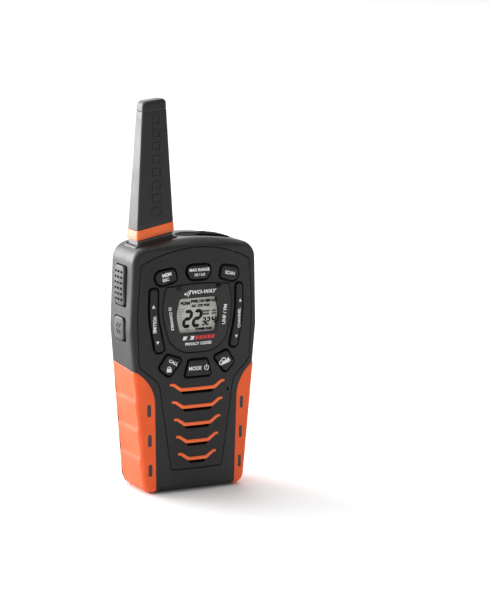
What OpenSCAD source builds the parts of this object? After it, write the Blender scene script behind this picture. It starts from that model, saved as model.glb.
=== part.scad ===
// Handheld two-way radio with a fixed antenna, a keypad, a display and a three-cell battery bay.
// Millimetres. +Z up along the radio, -Y out of its front, origin at the middle of its flat foot.

/* [Casing] */
// Half-width of the casing at its foot
foot_half_w = 27.1; // [26.5:0.1:28]
// Half-width of the casing at its widest
waist_half_w = 33.9; // [33:0.1:34.5]
// Height of the widest place above the foot
waist_z = 80; // [76:1:84]
// Height of the casing's top at its middle
casing_h = 124.2; // [123:0.1:125]
// Depth of the casing, front to back
casing_d = 32; // [31:0.5:34]
// Radius of the front's sideways crown
crown_r = 132; // [120:1:180]
// Thickness of the casing's walls, grips included
wall = 2.6; // [2.4:0.1:2.8]
// Where the front and rear housings meet, measured back from the middle
parting_y = 12; // [11.5:0.1:12.5]

/* [Front] */
// Thickness of the front panel
panel_t = 2.4; // [2:0.1:2.6]
// Gap between the panel and its housing
panel_gap = 0.3; // [0.2:0.05:0.4]
// How far a key stands out of the panel
key_rise = 0.9; // [0.6:0.1:1.2]
// Gap round a key
key_gap = 0.35; // [0.3:0.05:0.5]
// How far a key can be pressed
key_travel = 0.8; // [0.5:0.1:0.9]
// Depth of the pocket that the display lens sits in
lens_t = 1; // [0.8:0.1:1.2]
// Number of bars across the speaker
bars = 5; // [3:1:5]
// Height from one speaker bar to the next
bar_pitch = 8.65; // [8:0.05:9]
// Thickness of a speaker bar, up and down
bar_h = 1.7; // [1.4:0.1:2]

/* [Sides] */
// Thickness of the rubber grips
grip_t = 1.2; // [1:0.1:1.3]
// Height from one finger ridge to the next
ridge_pitch = 14.3; // [14:0.1:15]
// Depth of the valleys between finger ridges
ridge_depth = 0.7; // [0.4:0.1:0.9]
// How far the side buttons stand out of the casing
side_rise = 0.7; // [0.5:0.1:1]
// How far the side buttons can be pressed
side_travel = 1; // [0.6:0.1:1.1]

/* [Antenna] */
// Height of the antenna's tip above the foot
antenna_tip = 190.8; // [185:0.1:195]
// Sideways place of the antenna's middle
antenna_x = -18.1; // [-19:0.1:-17]
// Half-width of the antenna at its root
antenna_root = 9.9; // [9:0.1:10]
// Half-width of the antenna at its tip
antenna_end = 6.1; // [5:0.1:6.5]
// Height of the coloured ring round its root
ring_h = 4.7; // [4:0.1:5.5]

/* [Power] */
// Diameter of an AA cell
cell_d = 14.3; // [13.8:0.1:14.4]
// Length of an AA cell, with its nub
cell_l = 50.4; // [49.6:0.1:50.4]
// Distance from one cell to the next
cell_pitch = 14.8; // [14.6:0.1:14.9]

/* [Hidden] */

front_y = -casing_d / 2;
back_y = casing_d / 2;
far = 60;           // beyond every face
touch = 0.05;       // left between solids that rest on each other
fine = 96;          // facets round a true cylinder
smooth = 720;       // facets round a very large one
cavity_y = -10.6;   // front of the hollow behind the front wall
tray_half_w = 22.2; // inside of the battery bay
tray_wall = 1;
sharp = 0.15;       // corners of a smaller radius are left as points
tray_z0 = 4.2;
tray_z1 = 60.8;
tray_y0 = -2.2;
door_t = 2;
door_z0 = 1.6;
door_z1 = 63.5;
door_half_w = 25;
lock_z = 66.5;
board_y = -6.7;     // front face of the circuit board
board_t = 1.4;
membrane_y = -7.8;  // front face of the key membrane
dome_h = 0.8;
speaker_z = 34.5;
speaker_r = 18;
ptt_z = 100.5;
replay_z = 80.2;
ptt_half_h = 10.4;    // half the height of each side button's opening
replay_half_h = 7.1;
side_y = 0.9;       // middle of the side buttons
cover_x = 15;       // middle of the jack cover
audio_x = 9.8;
charge_x = 17.8;
clip_pin_y = 23.4;
clip_pin_z = 108;
screw_x = 24.6;
screw_z = [68.5, 113.6];
top_inset = 1.3;     // how far each side leans in between the waist and the top
arch_r = 100;        // radius of the casing's arched top
slot_pitch = 14.8;    // height from one grip slot to the next
band_slope = 0.2;   // the antenna's ring rises towards the middle of the radio

// ---- outlines: lists of [across, up, corner radius], anticlockwise ----
function at(c, i) = c[(i + len(c)) % len(c)];
function flat(p) = [p[0], p[1]];
function unit(v) = v / norm(v);
function turn(a, b) = a[0] * b[1] - a[1] * b[0];
function mirrored(c) = [for (i = [len(c) - 1:-1:0]) [-c[i][0], c[i][1], c[i][2]]];
function both_sides(c) = concat(c, mirrored(c));
function placed(c, x, z, a) = [for (p = c)
    [x + p[0] * cos(a) - p[1] * sin(a), z + p[0] * sin(a) + p[1] * cos(a), p[2]]];

// The outline with every edge moved out by d
function grow(c, d) = [for (i = [0:len(c) - 1]) let(
    p = flat(at(c, i)),
    e1 = unit(p - flat(at(c, i - 1))),
    e2 = unit(flat(at(c, i + 1)) - p),
    n1 = [e1[1], -e1[0]],
    n2 = [e2[1], -e2[0]],
    q = p + (n1 + n2) * d / (1 + n1 * n2),
    r = max(0, at(c, i)[2] + (turn(e1, e2) > 0 ? d : -d)))
    [q[0], q[1], r]];

// The outline's points, with each corner drawn as an arc of n steps, or as a point if it is sharp
function rounded(c, n = 5) = [for (i = [0:len(c) - 1]) let(
    p = flat(at(c, i)),
    e1 = unit(flat(at(c, i - 1)) - p),
    e2 = unit(flat(at(c, i + 1)) - p),
    half = acos(e1 * e2) / 2,
    r = at(c, i)[2],
    mid = p + unit(e1 + e2) * r / sin(half),
    from = p + e1 * r / tan(half) - mid,
    start = atan2(from[1], from[0]),
    sweep = (180 - 2 * half) * (turn(e1, e2) < 0 ? 1 : -1))
    for (k = [0:r < sharp ? 0 : n]) r < sharp ? p
        : mid + r * [cos(start + sweep * k / n), sin(start + sweep * k / n)]];

body_side = [[foot_half_w, 0, 5.4], [waist_half_w, waist_z, 30], [waist_half_w - top_inset, casing_h - 4.8, 8.5]];
body_edge = concat([[-foot_half_w, 0, 5.4]], body_side, [[0, casing_h + 2.8, arch_r]],
    [for (i = [2, 1]) [-body_side[i][0], body_side[i][1], body_side[i][2]]]);
panel_side = [[13.6, 11.2, 1.2], [19.9, 54.8, 7], [29.6, 62.8, 5], [30.6, 88, 60], [29, 112.3, 0.8]];
panel_edge = concat(panel_side, [[0, 127.4, 57]], mirrored(panel_side));
lens_side = [[9, 68.9, 12], [15, 75, 5], [18.7, 89.5, 30], [16.8, 101.2, 1.2]];
lens_edge = concat(lens_side, [[0, 103, 90]], mirrored(lens_side));
glass_edge = both_sides([[9.6, 78.2, 1.5], [11.7, 87, 14], [9.8, 95.4, 1.5]]);
grip_edge = [[20.7, -5, 0.1], [far, -5, 0.1], [far, 61.1, 0.1], [31.3, 60.9, 1.5], [21.9, 53.3, 19]];
end_key = [[-5.3, -3.2, 2.2], [5.5, -3.9, 3.4], [5.5, 3.9, 3.4], [-5.3, 3.5, 2.2]];
scan_edge = placed(end_key, 16.9, 106.3, -13);
mem_edge = mirrored(scan_edge);
range_edge = both_sides([[4.6, 104.2, 3.2], [8.6, 111.7, 3.1]]);
mode_edge = both_sides([[7.3, 56.7, 1.2], [5, 65.3, 1.2]]);
weather_edge = [[8.1, 66, 1.4], [14.9, 57, 1.8], [20.7, 62, 2], [16.1, 68.9, 1.4]];
call_edge = mirrored(weather_edge);
channel_edge = [[17.2, 70.2, 1.8], [22.1, 69.1, 2.2], [25.2, 87, 40], [24.9, 101, 1.9], [20.7, 101.2, 1.6],
    [20.8, 87.5, 40]];
volume_edge = mirrored(channel_edge);
door_edge = both_sides([[door_half_w, door_z0, 4], [door_half_w, door_z1, 3], [7.5, door_z1, 2],
    [7.5, lock_z + 5.5, 3]]);

// Where the crowned front lies at a distance from the middle
function crown_y(x) = front_y + x * x / (2 * crown_r);
// How far a speaker bar reaches sideways at its tips and at its bends
function bar_tip(i) = 14.8 - 1.13 * i;
function bar_bend(i) = 9.3 - 1.07 * i;
function bar_z(i) = 50.8 - bar_pitch * i;
// Half-width of the casing at a height
function half_w(z) = z < waist_z ? foot_half_w + (waist_half_w - foot_half_w) * z / waist_z
    : waist_half_w - top_inset * (z - waist_z) / (casing_h - 4.8 - waist_z);

// ---- shared shapes ----
// A prism along Y from y0 to y1
module prism(y0, y1, outline)
    translate([0, y1, 0]) rotate([90, 0, 0]) linear_extrude(y1 - y0) polygon(outline);
// A bar along Y, X or Z with its middle line through a point
module rod_y(x, z, y0, y1, r) translate([x, y1, z]) rotate([90, 0, 0]) cylinder(r = r, h = y1 - y0, $fn = fine);
module rod_x(y, z, x0, x1, r) translate([x0, y, z]) rotate([0, 90, 0]) cylinder(r = r, h = x1 - x0, $fn = fine);
module rod_z(x, y, z0, z1, r) translate([x, y, z0]) cylinder(r = r, h = z1 - z0, $fn = fine);
module box(low, high) translate(low) cube(high - low);
module mirror_copy() { children(); mirror([1, 0, 0]) children(); }
// Everything behind the crowned front moved out by rise, and everything before it sunk by drop
crown_line = [for (x = [-36:4.5:36]) [x, crown_y(x)]];
module crown_slab(shift, y_end) translate([0, 0, -9]) linear_extrude(antenna_tip)
    polygon(concat([for (p = crown_line) [p[0], p[1] + shift]], [[36, y_end], [-36, y_end]]));
module behind_crown(rise = 0) crown_slab(-rise, far);
module before_crown(drop = 0) crown_slab(drop, -far);

// The casing's outside, with rounded edges front and back
module casing() {
    steps = [[back_y, 4.6], [back_y - 0.6, 2.6], [back_y - 2.2, 0.8], [back_y - 5, 0], [front_y + 6, 0],
        [front_y + 5, 0.2], [front_y + 3.2, 1.1], [front_y - 0.6, 3.9]];
    intersection() {
        loft([for (s = steps) [for (p = rounded(grow(body_edge, -s[1]))) [p[0], s[0], p[1]]]]);
        behind_crown();
    }
}
module cavity(y0, y1) prism(y0, y1, rounded(grow(body_edge, -wall)));

// The skin of the casing's lower corner that one grip fills, on the right
module grip_skin(room = 0) difference() {
    prism(-far, parting_y - touch + 4 * room, rounded(grow(grip_edge, room)));
    prism(crown_y(27) + grip_t + room, far, rounded(grow(body_edge, -grip_t - room)));
}
module ridge_valleys() for (k = [0:3]) let(z = 47.2 - ridge_pitch * k)
    translate([half_w(z) + 38 - ridge_depth, far, z]) rotate([90, 0, 0]) cylinder(r = 38, h = 2 * far, $fn = smooth);

module grip() difference() {
    intersection() {
        casing();
        grip_skin();
    }
    ridge_valleys();
    for (k = [0:2]) prism(-far, far, rounded(placed([[-1, -3.1, 0.9], [1, -3.1, 0.9], [1, 3.1, 0.9],
        [-1, 3.1, 0.9]], 25 - 0.4 * k, 41.4 - slot_pitch * k, -1)));
}

// A key: its cap stands out of the panel, and its lip stays behind it
module key(edge, reach) {
    lip_y = crown_y(reach) + panel_t + 0.15;
    intersection() {
        prism(-far, lip_y + touch, rounded(edge));
        behind_crown(key_rise);
    }
    prism(lip_y, lip_y + 0.7, rounded(grow(edge, 0.75)));
}
// The stem that carries a key's push to the dome behind it
module stem(x, z, reach)
    rod_y(x, z, crown_y(reach) + panel_t + 0.8, membrane_y - dome_h - key_travel - 0.1, 1.6);
// Two solids that share one outline, as a wall or a ring has
module ring(y0, y1, outer, inner) difference() {
    prism(y0, y1, outer);
    prism(y0 - 1, y1 + 1, inner);
}
// A solid through a row of rings with the same number of points
module loft(rings) {
    n = len(rings[0]);
    polyhedron([for (r = rings) for (p = r) p], concat([[for (i = [0:n - 1]) i]],
        [for (k = [0:len(rings) - 2]) for (i = [0:n - 1]) let(a = k * n + i, b = k * n + (i + 1) % n)
            for (f = [[a, a + n, b + n], [a, b + n, b]]) f],
        [[for (i = [n - 1:-1:0]) (len(rings) - 1) * n + i]]), convexity = 6);
}
// A coil of round wire about Z, its radius going from r0 to r1
module coil(z0, z1, r0, r1, turns, wire, sides = 6, steps = 12) {
    n = turns * steps;
    function on(t) = let(r = r0 + (r1 - r0) * t, a = 360 * turns * t)
        [r * cos(a), r * sin(a), z0 + (z1 - z0) * t];
    points = [for (i = [0:n]) let(p = on(i / n), a = 360 * turns * i / n) for (k = [0:sides - 1])
        p + wire * [cos(a) * cos(360 * k / sides), sin(a) * cos(360 * k / sides), sin(360 * k / sides)]];
    walls = [for (i = [0:n - 1]) for (k = [0:sides - 1]) let(m = (k + 1) % sides)
        for (f = [[0, 2, 1], [0, 3, 2]]) let(q = [i * sides + k, (i + 1) * sides + k, (i + 1) * sides + m,
            i * sides + m]) [q[f[0]], q[f[1]], q[f[2]]]];
    polyhedron(points, concat([[for (k = [sides - 1:-1:0]) k]], walls,
        [[for (k = [0:sides - 1]) n * sides + k]]), convexity = 10);
}

// ---- casing ----
module front_housing() color([0.2, 0.2, 0.2]) {
    difference() {
        casing();
        translate([-far, parting_y, -far]) cube(4 * far);
        cavity(cavity_y, far);
        intersection() {
            prism(-far, far, rounded(grow(panel_edge, panel_gap)));
            before_crown(panel_t);
        }
        prism(-far, far, rounded(grow(panel_edge, -1.2)));
        mirror_copy() grip_skin(touch);
        side_button_hole(ptt_z, ptt_half_h);
        side_button_hole(replay_z, replay_half_h);
        rod_z(antenna_x, 0, 100, casing_h + 5, 4.6);
        jack_recess();
        for (s = [-1, 1]) box([s * 6.5 - 2.1, -5.1, -1], [s * 6.5 + 2.1, -1.9, 5]);
        rod_y(16.8, 48.9, -12.8, 0, 2.3);
    }
    mirror_copy() for (z = screw_z) difference() {
        union() {
            rod_y(screw_x, z, board_y + board_t + touch, parting_y - touch, 2.5);
            box([screw_x, board_y + board_t + 1, z - 0.8], [half_w(z) - 1.5, parting_y - touch, z + 0.8]);
        }
        rod_y(screw_x, z, 0, far, 1.05);
    }
}
module side_button_hole(z, half_h) {
    rotate([0, 0, 90]) translate([side_y, 0, z]) rotate([90, 0, 0])
        mirror([0, 0, 1]) linear_extrude(2 * far)
        polygon(rounded([[-7, -half_h, 2.6], [7, -half_h, 2.6], [7, half_h, 2.6], [-7, half_h, 2.6]]));
}
// The dish in the top that the jack cover fills, and the way down to the sockets
module jack_recess() {
    jack_cover_shape(1.2, 0.3);
    rod_z(audio_x, 0, 100, casing_h + 5, 3.1);
    box([charge_x - 4.4, -2, 100], [charge_x + 4.4, 2, casing_h + 5]);
    difference() {
        translate([0, 0, 100]) linear_extrude(40) polygon(rounded([[-8.5, 0.6, 1], [-1, -4.6, 8],
            [14, -5.6, 20], [26, 0.6, 2], [14, 6.6, 20], [-1, 5.6, 8]]));
        casing_top(-0.6);
    }
}
// A long oval in the sloping top, depth deep
module jack_cover_shape(depth, room = 0) {
    top = casing_h - cover_x * cover_x / (2 * arch_r);
    translate([cover_x, 0, top]) rotate([0, atan(cover_x / arch_r), 0]) hull() for (s = [-1, 1])
        translate([s * 4.4, 0, -depth]) cylinder(r = 4.6 + room, h = 5, $fn = 32);
}
module rear_housing() color([0.17, 0.17, 0.17]) {
    difference() {
        casing();
        translate([-far, parting_y - 4 * far + touch, -far]) cube(4 * far);
        cavity(0, back_y - door_t - 1.2);
        prism(back_y - door_t - touch, far, rounded(grow(door_edge, 0.2)));
        box([-tray_half_w, -far, tray_z0], [tray_half_w, far, tray_z1]);
        rod_y(0, lock_z, -far, far, 1.85);
        for (s = [-1, 1], z = screw_z) {
            rod_y(s * screw_x, z, 0, far, 1.4);
            rod_y(s * screw_x, z, back_y - 1.9, far, 2.7);
        }
        rod_z(antenna_x, 0, 100, casing_h + 5, 4.6);
        ring(0, parting_y + 0.6, rounded(grow(body_edge, -0.8 + touch)), rounded(grow(body_edge, -1.7 - touch)));
        ring(back_y - door_t - 0.8, back_y, rounded(seal_edge(touch)), rounded(seal_edge(-0.9)));
    }
    // the battery tray, open to the back
    difference() {
        box([-tray_half_w - tray_wall, tray_y0 - tray_wall, tray_z0 - tray_wall],
            [tray_half_w + tray_wall, back_y - door_t - touch, tray_z1 + tray_wall]);
        box([-tray_half_w, tray_y0, tray_z0], [tray_half_w, far, tray_z1]);
        ring(back_y - door_t - 0.8, far, rounded(seal_edge(touch)), rounded(seal_edge(-0.9)));
    }
    // the boss that the door's lock turns in
    difference() {
        rod_y(0, lock_z, 6, back_y - door_t - touch, 3.4);
        rod_y(0, lock_z, 0, far, 1.85);
    }
    // the rail that the belt clip slides on
    box([-4, back_y - 1, 94], [4, back_y + 1.6, 117]);
    box([-6.6, back_y + 1.6, 94], [6.6, back_y + 2.9, 117]);
}
function seal_edge(d) = grow(both_sides([[tray_half_w + 0.95, tray_z0 - 0.95, 2],
    [tray_half_w + 0.95, tray_z1 + 0.95, 2]]), d);

// ---- front ----
module front_panel() color([0.13, 0.13, 0.13]) difference() {
    intersection() {
        prism(-far, 0, rounded(panel_edge));
        behind_crown();
        before_crown(panel_t - touch);
    }
    for (e = [mem_edge, range_edge, scan_edge, volume_edge, channel_edge, call_edge, mode_edge, weather_edge])
        prism(-far, 0, rounded(grow(e, key_gap)));
    intersection() {
        prism(-far, 0, rounded(grow(lens_edge, 0.15)));
        before_crown(lens_t + touch);
    }
    prism(-far, 0, rounded(glass_edge));
    for (i = [0:bars - 1]) {
        prism(-far, 0, rounded(slot_edge(i)));
        bar_shape(i, 0.1, front_y + 1.2, 0.1);
    }
    rod_y(16.8, 48.9, -far, 0, 0.7);
}
function slot_edge(i) = both_sides([[bar_bend(i) - 1.2, bar_z(i) - 2.2, 0.3], [bar_bend(i) - 0.2, bar_z(i) - 0.5, 0.3]]);
// One speaker bar: level in the middle, with tips that turn up
function bar_edge(i, room = 0) = let(z = bar_z(i), t = bar_tip(i), b = bar_bend(i), h = bar_h / 2)
    grow([[-b, z - h, 0.4], [b, z - h, 0.4], [b + 3.9, z + 2, 0.6], [t, z + 2.1, 0.6], [t, z + 3.4, 0.6],
        [b + 3.2, z + 3.3, 0.6], [b - 0.6, z + h, 0.4], [-b + 0.6, z + h, 0.4], [-b - 3.2, z + 3.3, 0.6],
        [-t, z + 3.4, 0.6], [-t, z + 2.1, 0.6], [-b - 3.9, z + 2, 0.6]], room);
module bar_shape(i, room, y1, rise) intersection() {
    prism(-far, y1, rounded(bar_edge(i, room), 3));
    behind_crown(rise + 0.5);
}
module grille_bars() color([0.95, 0.37, 0.15]) for (i = [0:bars - 1]) bar_shape(i, 0, front_y + 1.15, 0.1);
module speaker_cloth() color([0.05, 0.05, 0.05]) box([-12, -12.6, 13], [12, -12.2, 53]);
module display_lens() color([0.3, 0.32, 0.33, 0.5]) intersection() {
    prism(-far, 0, rounded(lens_edge));
    behind_crown(0.15);
    before_crown(lens_t);
}
module display_module() color([0.72, 0.74, 0.68]) box([-12.6, -12.5, 76.2], [12.6, -10.4, 97.4]);
module display_holder() color([0.85, 0.85, 0.82]) difference() {
    box([-14.4, -12.4, 74.6], [14.4, board_y - touch, 99]);
    box([-12.7, -20, 76.1], [12.7, -10.3, 97.5]);
    box([-10, -11, 79], [10, 0, 94]);
}
module mem_key() color([0.12, 0.12, 0.12]) { key(mem_edge, 22); stem(-16.9, 106.3, 22); }
module range_key() color([0.12, 0.12, 0.12]) { key(range_edge, 9); stem(0, 108, 9); }
module scan_key() color([0.12, 0.12, 0.12]) { key(scan_edge, 22); stem(16.9, 106.3, 22); }
module volume_key() color([0.12, 0.12, 0.12]) mirror([1, 0, 0]) rocker();
module channel_key() color([0.12, 0.12, 0.12]) rocker();
module rocker() { key(channel_edge, 26); stem(22.4, 94, 26); stem(20.6, 75.5, 26); }
module call_key() color([0.12, 0.12, 0.12]) { key(call_edge, 21); stem(-14.9, 63.2, 21); }
module mode_key() color([0.12, 0.12, 0.12]) { key(mode_edge, 8); stem(0, 61, 8); }
module weather_key() color([0.12, 0.12, 0.12]) { key(weather_edge, 21); stem(14.9, 63.2, 21); }

// ---- behind the front ----
domes = [[-16.9, 106.3], [0, 108], [16.9, 106.3], [22.4, 94], [20.6, 75.5], [-22.4, 94], [-20.6, 75.5],
    [-14.9, 63.2], [0, 61], [14.9, 63.2]];
module key_membrane() color([0.5, 0.5, 0.5]) difference() {
    union() {
        prism(membrane_y, board_y - touch, rounded(both_sides([[20, 56.8, 3], [25.8, 66, 3], [25.8, 104, 3],
            [20, 113, 3]])));
        for (d = domes) translate([d[0], membrane_y + touch, d[1]]) rotate([90, 0, 0])
            cylinder(r1 = 3, r2 = 1.9, h = dome_h, $fn = fine);
    }
    box([-14.6, -far, 74.4], [14.6, 0, 99.2]);
}
module circuit_board() color([0.08, 0.33, 0.17])
    prism(board_y, board_y + board_t, rounded(both_sides([[22, 55.2, 2], [27.6, 60, 2], [27.6, 112, 3],
        [21, 116.6, 3]])));
module board_parts() {
    back = board_y + board_t + touch;
    color([0.75, 0.75, 0.76]) {
        box([-20, back, 84], [2, back + 2.6, 102]);
        box([6, back, 88], [20, back + 2.2, 104]);
    }
    color([0.1, 0.1, 0.1]) {
        box([-6, back, 68], [6, back + 1.2, 80]);
        box([12, back, 66], [18, back + 1, 74]);
        box([-18, back, 70], [-12, back + 1, 78]);
    }
}
module microphone() color([0.7, 0.7, 0.72]) rod_y(16.8, 48.9, -12.3, -9.7, 2.1);
module speaker_frame() color([0.3, 0.3, 0.32]) difference() {
    union() {
        rod_y(0, speaker_z, -10.4, -9, speaker_r);
        translate([0, -9.1, speaker_z]) rotate([-90, 0, 0]) cylinder(r1 = 16, r2 = 10, h = 2.6, $fn = fine);
    }
    rod_y(0, speaker_z, -11, -9, 16.4);
    translate([0, -9.9, speaker_z]) rotate([-90, 0, 0]) cylinder(r1 = 16, r2 = 9.4, h = 2.8, $fn = fine);
    rod_y(0, speaker_z, -11, 0, 7);
}
module speaker_cone() color([0.12, 0.12, 0.13]) translate([0, -10.2, speaker_z]) rotate([-90, 0, 0])
    rotate_extrude($fn = fine) polygon([[0, 1.9], [4, 1.5], [5, 2.2], [11.5, 0.6], [13, 0], [15.6, 0], [15.6, 0.3],
        [13.2, 0.35], [11.7, 0.9], [5, 2.6], [4.6, 2.7], [0, 2.4]]);
module speaker_magnet() color([0.55, 0.55, 0.57]) difference() {
    rod_y(0, speaker_z, -6.45, -3.3, 9.5);
    rod_y(0, speaker_z, -7, -5.2, 6);
}

// ---- sides ----
// A side button: its face stands out of the casing and its lip stays inside
module side_button(z, half_h) {
    face_x = -waist_half_w - side_rise;
    lip_x = -min(half_w(z - half_h), half_w(z + half_h)) + wall + 0.15;
    intersection() {
        side_prism(z, -5.2, 5.2, half_h - 1.2, face_x, lip_x + touch, 2);
        translate([face_x + 90, far, z]) rotate([90, 0, 0]) cylinder(r = 90, h = 2 * far, $fn = smooth);
    }
    side_prism(z, -7.6, 7.6, half_h + 0.8, lip_x, lip_x + 0.6, 2);
    rod_x(side_y, z, lip_x + 0.55, -25.7 - side_travel, 1.5);
}
module side_prism(z, y0, y1, half_h, x0, x1, r)
    translate([x0, 0, z]) rotate([90, 0, 90]) linear_extrude(x1 - x0)
        polygon(rounded([[side_y + y0, -half_h, r], [side_y + y1, -half_h, r], [side_y + y1, half_h, r],
            [side_y + y0, half_h, r]]));
module ptt_button() color([0.16, 0.16, 0.16]) {
    side_button(ptt_z, ptt_half_h);
    for (r = [-2:2], c = [-1:1]) translate([-waist_half_w - side_rise - 0.1, side_y + 2.5 * c, ptt_z + 2.6 * r])
        sphere(r = 0.75, $fn = 24);
}
module replay_button() color([0.16, 0.16, 0.16]) side_button(replay_z, replay_half_h);
module side_board() color([0.08, 0.33, 0.17]) box([-23.6, -5.2, 73], [-22.8, 9, 107]);
module side_switches() color([0.75, 0.75, 0.76]) for (z = [ptt_z, replay_z]) {
    box([-25, side_y - 2.6, z - 2.6], [-23.65, side_y + 2.6, z + 2.6]);
    rod_x(side_y, z, -25.55, -24.9, 1.2);
}

// ---- antenna ----
// A flat tapering bar, d larger all round, from z0 up
module antenna_bar(d, z0 = 110) {
    function half(z) = antenna_root + (antenna_end - antenna_root) * (z - 125) / (antenna_tip - 125) + d;
    function deep(z) = half(z) * 0.61 + 0.1;
    levels = [[z0, 0], [antenna_tip - 3, 0], [antenna_tip - 1, 0.7], [antenna_tip, 2.2]];
    translate([antenna_x, 0, 0]) loft([for (l = levels) let(w = half(l[0]) - l[1], y = deep(l[0]) - l[1] * 0.7)
        [for (p = rounded([[-w, -y, 1.3], [w, -y, 1.3], [w, y, 1.3], [-w, y, 1.3]])) [p[0], p[1], l[0]]]]);
}
// The space below a plane that rises across the antenna, at height z on its middle line
module below(z) translate([antenna_x, 0, z]) rotate([0, -atan(band_slope), 0])
    translate([-50, -50, -100]) cube([100, 100, 100]);
module antenna_base() color([0.25, 0.25, 0.25]) {
    difference() {
        intersection() { antenna_bar(-0.7); below(125.1 - touch); }
        translate([0, 0, touch]) casing();
        rod_z(antenna_x, 0, 100, 200, 2.2);
    }
    difference() {
        rod_z(antenna_x, 0, 116.6, 123.2, 4.5);
        rod_z(antenna_x, 0, 100, 200, 2.2);
    }
}
module antenna_ring() color([0.95, 0.37, 0.15]) difference() {
    intersection() { antenna_bar(0.15); below(125.1 + ring_h); }
    below(125.1);
    rod_z(antenna_x, 0, 100, 200, 2.4);
}
module antenna_sleeve() color([0.16, 0.16, 0.16]) difference() {
    antenna_bar(0);
    below(125.1 + ring_h + touch);
    rod_z(antenna_x, 0, 100, 178, 2.4);
}
module antenna_coil() color([0.72, 0.45, 0.2]) {
    translate([antenna_x, 0, 0]) coil(132, 174, 1.75, 1.75, 14, 0.3, 5, 10);
    rod_z(antenna_x, 0, 106, 176, 1.3);
}

// ---- top ----
module jack_cover() color([0.08, 0.08, 0.08]) intersection() {
    jack_cover_shape(1.1);
    casing_top(-0.1);
}
// Everything under the casing's arched top, moved up by rise
module casing_top(rise) prism(-20, 20, concat([[-far, 90], [far, 90]],
    [for (x = [36:-6:-36]) [x, casing_h + rise - x * x / (2 * arch_r)]]));
module audio_jack() color([0.2, 0.2, 0.22]) difference() {
    union() {
        rod_z(audio_x, 0, 116, 120.2, 2.9);
        box([audio_x - 3, -3, 107.4], [audio_x + 2.9, 3, 116.1]);
    }
    rod_z(audio_x, 0, 109, 130, 1.3);
}
module charge_socket() color([0.75, 0.75, 0.76]) difference() {
    box([charge_x - 3.9, -1.5, 112], [charge_x + 3.9, 1.5, 119.6]);
    box([charge_x - 3.5, -1.1, 114], [charge_x + 3.5, 1.1, 125]);
}

// ---- back ----
module housing_seal() color([0.3, 0.3, 0.3])
    ring(parting_y + touch * 2, parting_y + 0.55, rounded(grow(body_edge, -0.8)), rounded(grow(body_edge, -1.7)));
module housing_screws() color([0.6, 0.6, 0.62]) for (s = [-1, 1], z = screw_z) difference() {
    union() {
        rod_y(s * screw_x, z, 3, back_y - 1.8, 1);
        rod_y(s * screw_x, z, back_y - 1.85, back_y - 0.4, 2.5);
    }
    for (a = [0, 90]) translate([s * screw_x, back_y, z]) rotate([0, a, 0]) cube([3, 2, 0.6], center = true);
}
module cell(x, up) translate([x, 6.3, 0]) {
    z0 = up ? 9.8 : tray_z1 - 5.6;
    translate([0, 0, z0]) mirror([0, 0, up ? 0 : 1]) {
        color([0.2, 0.45, 0.3]) cylinder(d = cell_d, h = cell_l - 1.2, $fn = fine);
        color([0.8, 0.8, 0.8]) translate([0, 0, cell_l - 1.3]) cylinder(d = 5.2, h = 1.3, $fn = fine);
    }
}
module battery_cell_1() cell(-cell_pitch, true);
module battery_cell_2() cell(0, false);
module battery_cell_3() cell(cell_pitch, true);
module battery_springs() color([0.8, 0.8, 0.8]) {
    for (s = [-1, 1]) translate([s * cell_pitch, 6.3, 0]) coil(tray_z0 + 1, 9.4, 4.2, 2.4, 3, 0.35, 5, 10);
    translate([0, 6.3, tray_z1 - 5.2]) coil(0, 4.2, 2.4, 4.2, 3, 0.35, 5, 10);
}
module battery_plates() color([0.78, 0.78, 0.76]) for (z = [tray_z0 + touch, tray_z1 - touch - 0.5],
    x = [-cell_pitch, 0, cell_pitch]) box([x - 6.4, 0.4, z], [x + 6.4, 12, z + 0.5]);
module battery_door() color([0.17, 0.17, 0.17]) difference() {
    intersection() {
        prism(back_y - door_t, far, rounded(door_edge));
        casing();
    }
    rod_y(0, lock_z, 0, far, 1.8);
    rod_y(0, lock_z, back_y - 1, far, 4.3);
    for (k = [0:4]) translate([0, back_y + 0.9, 10 + 4 * k]) rotate([0, 90, 0]) cylinder(r = 1.4, h = 30, center = true, $fn = fine);
}
module door_seal() color([0.5, 0.5, 0.5])
    ring(back_y - door_t - 0.75, back_y - door_t - touch, rounded(seal_edge(0)), rounded(seal_edge(-0.85)));
module door_lock() color([0.3, 0.3, 0.3]) difference() {
    union() {
        rod_y(0, lock_z, back_y - 0.95, back_y + 0.3, 4.2);
        rod_y(0, lock_z, 8, back_y - 0.9, 1.75);
    }
    box([-3.4, back_y - 0.5, lock_z - 0.6], [3.4, far, lock_z + 0.6]);
}
module charge_contacts() color([0.85, 0.68, 0.3]) for (s = [-1, 1])
    box([s * 6.5 - 2, -5, 0.3], [s * 6.5 + 2, -2, 2.6]);

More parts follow.
